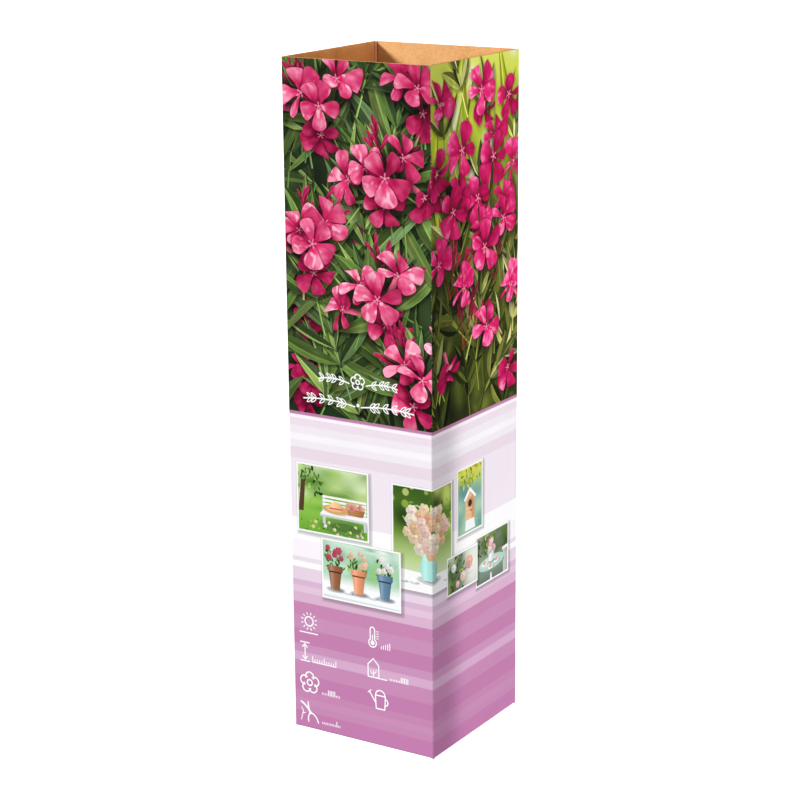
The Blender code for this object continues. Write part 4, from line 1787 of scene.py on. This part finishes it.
def addGlueStrip():
    low, high = (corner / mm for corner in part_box("seam_flap"))
    taper, rear = glueStrip["taper"], high.y + glueStrip["towardsFold"]
    work = bmesh.new()
    outline = [(rear, low.z), (rear, high.z), (low.y, high.z - taper), (low.y, low.z + taper)]
    corners = [work.verts.new((low.x * mm, y * mm, z * mm)) for y, z in outline]
    face = work.faces.new(corners)
    made = bmesh.ops.extrude_face_region(work, geom=[face])
    moveMade(work, made, ((high.x - low.x) * mm, 0, 0))
    inner = [edge for edge in work.edges if all(abs(v.co.x - low.x * mm) < 1e-6 for v in edge.verts)]
    bmesh.ops.bevel(
        work, geom=inner, offset=glueStrip["edge"] * mm, segments=3, profile=0.5,
        affect="EDGES", material=-1,
    )
    addPiece("glue_strip", meshOf(work, "glue_strip", brownBoard), "brown_board", "seam_flap")


# the bottom flaps keep their solids: brown above, coated below, with cut flutes painted at their edges
# and painted shade in the hollows between them

flapLook = {
    **brownLook,
    "bump": 0.3,
    "coating": [(0.3, (226, 216, 222)), (0.7, (240, 233, 238))],
    "bleed": (0.0455, 0.0462),  # from the middle of the base to the print's ragged edge
    "below": (-0.6, -0.5),  # how far a face's normal points up where brown takes over
    "wave": 0.62,  # the flutes' height, as a share of the board's
}


def makeFlapBoard(node, waveAlong):
    material, tree, shader = startMaterial(node + "Board")
    paper = addNode(tree, "ShaderNodeGroup", {"Stretch": (1, 1, 1)}, node_tree=brownPaper).outputs
    at = addNode(tree, "ShaderNodeTexCoord").outputs["Object"]
    place = partsOf(tree, at)
    facing = partsOf(tree, addNode(tree, "ShaderNodeNewGeometry").outputs["Normal"])[2]
    white = rampOf(tree, paper["Clouds"], flapLook["coating"])
    fold = maths(tree, "MAXIMUM", absolute(tree, place[0]), absolute(tree, place[1]))
    ragged = plus(tree, fold, times(tree, noiseAt(tree, at, 300, 2), 0.0012))
    coated = mixColours(tree, between(tree, ragged, *flapLook["bleed"]), white, inkOf(197, 127, 176))
    colour = mixColours(tree, between(tree, facing, *flapLook["below"]), coated, paper["Color"])
    # the cut edge: painted shade for a dark hollow, crossed by the fluted paper
    halfBoard = carton["board"] * mm / 2
    wave = maths(tree, "COSINE", times(tree, place[waveAlong], 2 * math.pi / (flutes["pitch"] * mm)))
    rise = maths(tree, "DIVIDE", minus(tree, place[2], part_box(node)[0].z + halfBoard), halfBoard)
    gap = absolute(tree, minus(tree, rise, times(tree, wave, flapLook["wave"])))
    liners = between(tree, absolute(tree, rise), 0.66, 0.78)
    paperHere = maths(tree, "MAXIMUM", between(tree, gap, 0.26, 0.12), liners)
    # painted shade fills the hollow wherever no paper is
    cut = mixColours(tree, paperHere, inkOf(48, 28, 14), paper["Color"])
    onEdge = between(tree, absolute(tree, facing), 0.4, 0.3)
    colour = mixColours(tree, onEdge, colour, cut)
    height = plus(tree, times(tree, paper["Fibres"], 0.4), times(tree, onEdge, paperHere))
    roughness = between(tree, facing, *flapLook["below"], 0.45, 0.9)
    finishMaterial(tree, shader, colour, roughness, height, flapLook)
    return material


def dressFlaps():
    for node, waveAlong in (("back_flap", 0), ("lock_flap", 0), ("right_flap", 1), ("left_flap", 1)):
        board = makeFlapBoard(node, waveAlong)
        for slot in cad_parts[node].material_slots:
            slot.material = board


# camera, lights and floor

cameraPlace = {
    "azimuth": 32.0068,
    "elevation": 15.0853,
    "roll": -0.4783,
    "distance": 1.31618,
    "aside": -0.00241,  # from the carton's axis to the middle of the view
    "height": 0.20331,
    "lens": 98.39,
}


def addCamera():
    camera = bpy.data.objects.new("camera", bpy.data.cameras.new("camera"))
    bpy.context.scene.collection.objects.link(camera)
    turn, rise = math.radians(cameraPlace["azimuth"]), math.radians(cameraPlace["elevation"])
    back = Vector((math.sin(turn) * math.cos(rise), -math.cos(turn) * math.cos(rise), math.sin(rise)))
    right = Vector((math.cos(turn), math.sin(turn), 0))
    target = right * cameraPlace["aside"] + Vector((0, 0, cameraPlace["height"]))
    camera.location = target + back * cameraPlace["distance"]
    camera.rotation_euler = back.to_track_quat("Z", "Y").to_euler()
    camera.rotation_euler.rotate_axis("Z", math.radians(cameraPlace["roll"]))
    camera.data.lens = cameraPlace["lens"]
    camera.data.sensor_width = 36
    camera.data.clip_end = 100
    bpy.context.scene.camera = camera


lights = {
    "key": {"towards": (-1.0, -1.4, 0.72), "strength": 3.75, "softness": 9},
    "fill": {"towards": (1.0, -0.2, 0.05), "strength": 1.82, "softness": 60},
    "back": {"towards": (-0.25, 1.0, 0.0), "strength": 2.1, "softness": 40},
    "sky": 0.18,
}


def addSun(name):
    light = bpy.data.lights.new(name, "SUN")
    light.energy = lights[name]["strength"]
    light.angle = math.radians(lights[name]["softness"])
    sun = bpy.data.objects.new(name, light)
    bpy.context.scene.collection.objects.link(sun)
    sun.rotation_euler = Vector(lights[name]["towards"]).to_track_quat("Z", "Y").to_euler()


# a narrow beam that lightens the right wall towards the back corner
strip = {
    "place": (0.65, 0.037, 0.22),
    "aim": (0.05, 0.037, 0.22),
    "width": 0.12,
    "height": 1.0,
    "spread": 3.3,
    "power": 0.172,
}


def addStripLight():
    light = bpy.data.lights.new("strip", "AREA")
    light.shape = "RECTANGLE"
    light.size, light.size_y = strip["width"], strip["height"]
    light.spread = math.radians(strip["spread"])
    light.energy = strip["power"]
    beam = bpy.data.objects.new("strip", light)
    bpy.context.scene.collection.objects.link(beam)
    beam.location = strip["place"]
    away = Vector(strip["place"]) - Vector(strip["aim"])
    beam.rotation_euler = away.to_track_quat("Z", "Y").to_euler()


def addWorld():
    world = bpy.data.worlds.new("studio")
    bpy.context.scene.world = world
    world.use_nodes = True
    tree = world.node_tree
    background = tree.nodes["Background"]
    seen = addNode(tree, "ShaderNodeLightPath").outputs["Is Camera Ray"]
    background.inputs["Color"].default_value = (1, 1, 1, 1)
    level = addNode(tree, "ShaderNodeMapRange", {"Value": seen, "To Min": lights["sky"]})
    tree.links.new(level.outputs[0], background.inputs["Strength"])


floorLook = {"reach": 30, "drop": 0.0002, "tone": 0.93, "roughness": 0.8, "specular": 0.1, "glow": 0.85}


def addFloor():
    work = bmesh.new()
    bmesh.ops.create_grid(work, x_segments=1, y_segments=1, size=floorLook["reach"])
    bmesh.ops.translate(work, verts=work.verts, vec=(0, 0, -floorLook["drop"]))
    mesh = bpy.data.meshes.new("floor")
    work.to_mesh(mesh)
    work.free()
    floor = bpy.data.objects.new("floor", mesh)
    bpy.context.scene.collection.objects.link(floor)
    material, tree, shader = startMaterial("paleFloor")
    shader.inputs["Base Color"].default_value = (*[floorLook["tone"]] * 3, 1)
    shader.inputs["Roughness"].default_value = floorLook["roughness"]
    shader.inputs["Specular IOR Level"].default_value = floorLook["specular"]
    shader.inputs["Emission Color"].default_value = (1, 1, 1, 1)
    shader.inputs["Emission Strength"].default_value = floorLook["glow"]
    # from below the floor is clear, so that the locked bottom shows
    clear = addNode(tree, "ShaderNodeBsdfTransparent")
    below = addNode(tree, "ShaderNodeNewGeometry").outputs["Backfacing"]
    seen = addNode(tree, "ShaderNodeMixShader", {"Fac": below})
    tree.links.new(shader.outputs[0], seen.inputs[1])
    tree.links.new(clear.outputs[0], seen.inputs[2])
    tree.links.new(seen.outputs[0], tree.nodes["Material Output"].inputs["Surface"])
    mesh.materials.append(material)
    # the low lights shine up past the floor, and it neither lights the carton nor shows in its gloss
    floor.visible_shadow = False
    floor.visible_diffuse = False
    floor.visible_glossy = False


# making it all

addStripes()
pinkGarden(0, 3, [
    (90, 398, 3, 15, 0.8), (24, 384, 5, 17, 0.95), (68, 346, 6, 17, 1.0), (18, 304, 5, 16, 0.98),
    (62, 276, 5, 17, 1.05), (92, 232, 4, 17, 1.12),
], [(10, 268, 12), (14, 222, 9), (48, 320, 9), (6, 402, 9)], 108)
limeGarden(100, 5, [
    (10, 388, 14, 0.8, 0.78), (56, 392, 15, 0.3, 0.92), (88, 386, 15, 0.6, 1.0), (34, 360, 16, 0.3, 0.95),
    (6, 350, 15, 0.9, 0.82), (70, 352, 16, 0.4, 0.92), (94, 346, 14, 0.8, 0.85), (52, 330, 16, 0.5, 1.0),
    (24, 326, 15, 0.4, 0.9), (82, 314, 15, 0.6, 0.92), (8, 298, 15, 0.6, 0.85), (60, 300, 16, 0.3, 0.98),
    (36, 280, 14, 0.8, 0.9), (92, 272, 14, 0.9, 1.05), (62, 252, 15, 0.6, 1.0), (18, 236, 13, 1.0, 1.02),
    (88, 222, 13, 0.7, 1.05),
], [(34, 244, 66, 26), (72, 278, 108, 24), (20, 276, 80, 26), (50, 306, 96, 24)])
pinkGarden(200, 11, [
    (10, 396, 3, 15, 0.85), (76, 384, 5, 17, 0.95), (30, 346, 6, 17, 1.0), (82, 312, 5, 16, 0.98),
    (36, 282, 5, 17, 1.05), (76, 240, 5, 17, 1.1),
], [(90, 268, 12), (14, 226, 10), (54, 320, 9), (94, 402, 9)], 76)
limeGarden(300, 17, [
    (90, 388, 14, 0.8, 0.8), (44, 392, 15, 0.3, 0.92), (12, 384, 15, 0.6, 1.0), (66, 360, 16, 0.3, 0.95),
    (94, 350, 15, 0.9, 0.82), (30, 352, 16, 0.4, 0.92), (6, 344, 14, 0.8, 0.85), (48, 328, 16, 0.5, 1.0),
    (76, 326, 15, 0.4, 0.9), (18, 312, 15, 0.6, 0.92), (92, 298, 15, 0.6, 0.85), (40, 298, 16, 0.3, 0.98),
    (64, 280, 14, 0.8, 0.9), (8, 272, 14, 0.9, 1.05), (38, 252, 15, 0.6, 1.0), (82, 236, 13, 1.0, 1.02),
    (12, 222, 13, 0.7, 1.05),
], [(66, 244, 114, 26), (28, 278, 72, 24), (80, 276, 100, 26), (50, 306, 84, 24)])
# each view with its left edge, foot, width and height
gardenViews = [
    (lawnView, 5, 128, 51, 43), (bouquetView, 72, 104, 50, 64), (potsView, 22, 88, 56, 38),
    (birdBoxView, 128, 130, 30, 42), (tableView, 150, 92, 40, 32), (blossomView, 116, 97, 36, 24),
]
for start in (0, 200):
    addOrnament(start)
    addCareSigns(start)
    for number, (drawView, left, *place) in enumerate(gardenViews, 1):
        drawView((start + left, *place), random.Random(start + number))
print("laid out", len(printed), "printed shapes")

coatedPaper = makeCoatedPaper()
brownPaper = makeBrownPaper()
surfaceMaterials = {
    "flat": makePrinted("flatInk"),
    "petal": makePrinted("petalPink", drawPetal, silk=0.68, stops=[
        (0.0, (112, 8, 44)), (0.22, (174, 18, 78)), (0.45, (212, 40, 100)), (0.7, (228, 70, 124)),
        (0.88, (238, 108, 150)), (1.0, (246, 156, 184)),
    ]),
    "petalMagenta": makePrinted("petalMagenta", drawPetal, silk=0.35, stops=[
        (0.0, (100, 2, 38)), (0.25, (166, 6, 68)), (0.5, (208, 14, 92)), (0.75, (226, 34, 112)),
        (0.9, (236, 68, 138)), (1.0, (246, 118, 172)),
    ]),
    "leaf": makePrinted("printedLeaf", drawLeaf),
    "bud": makePrinted("printedBud", drawBud),
    "stem": makePrinted("printedStem", drawStem),
}
surfaceNames = list(surfaceMaterials)
brownBoard = makeBrownBoard()
for wall in walls:
    makePrintedWall(wall)
addStrip("brown_liner", linerPath(), innerLiner["low"], carton["height"], carton["liner"])
addStrip("flutes", flutePath(), flutes["low"], carton["height"] - flutes["recess"], flutes["paper"])
addGlueStrip()
dressFlaps()
print("board parts made")

bpy.context.scene.view_settings.view_transform = "Standard"
addWorld()
for name in ("key", "fill", "back"):
    addSun(name)
addStripLight()
addFloor()
addCamera()
print("camera and lights set")
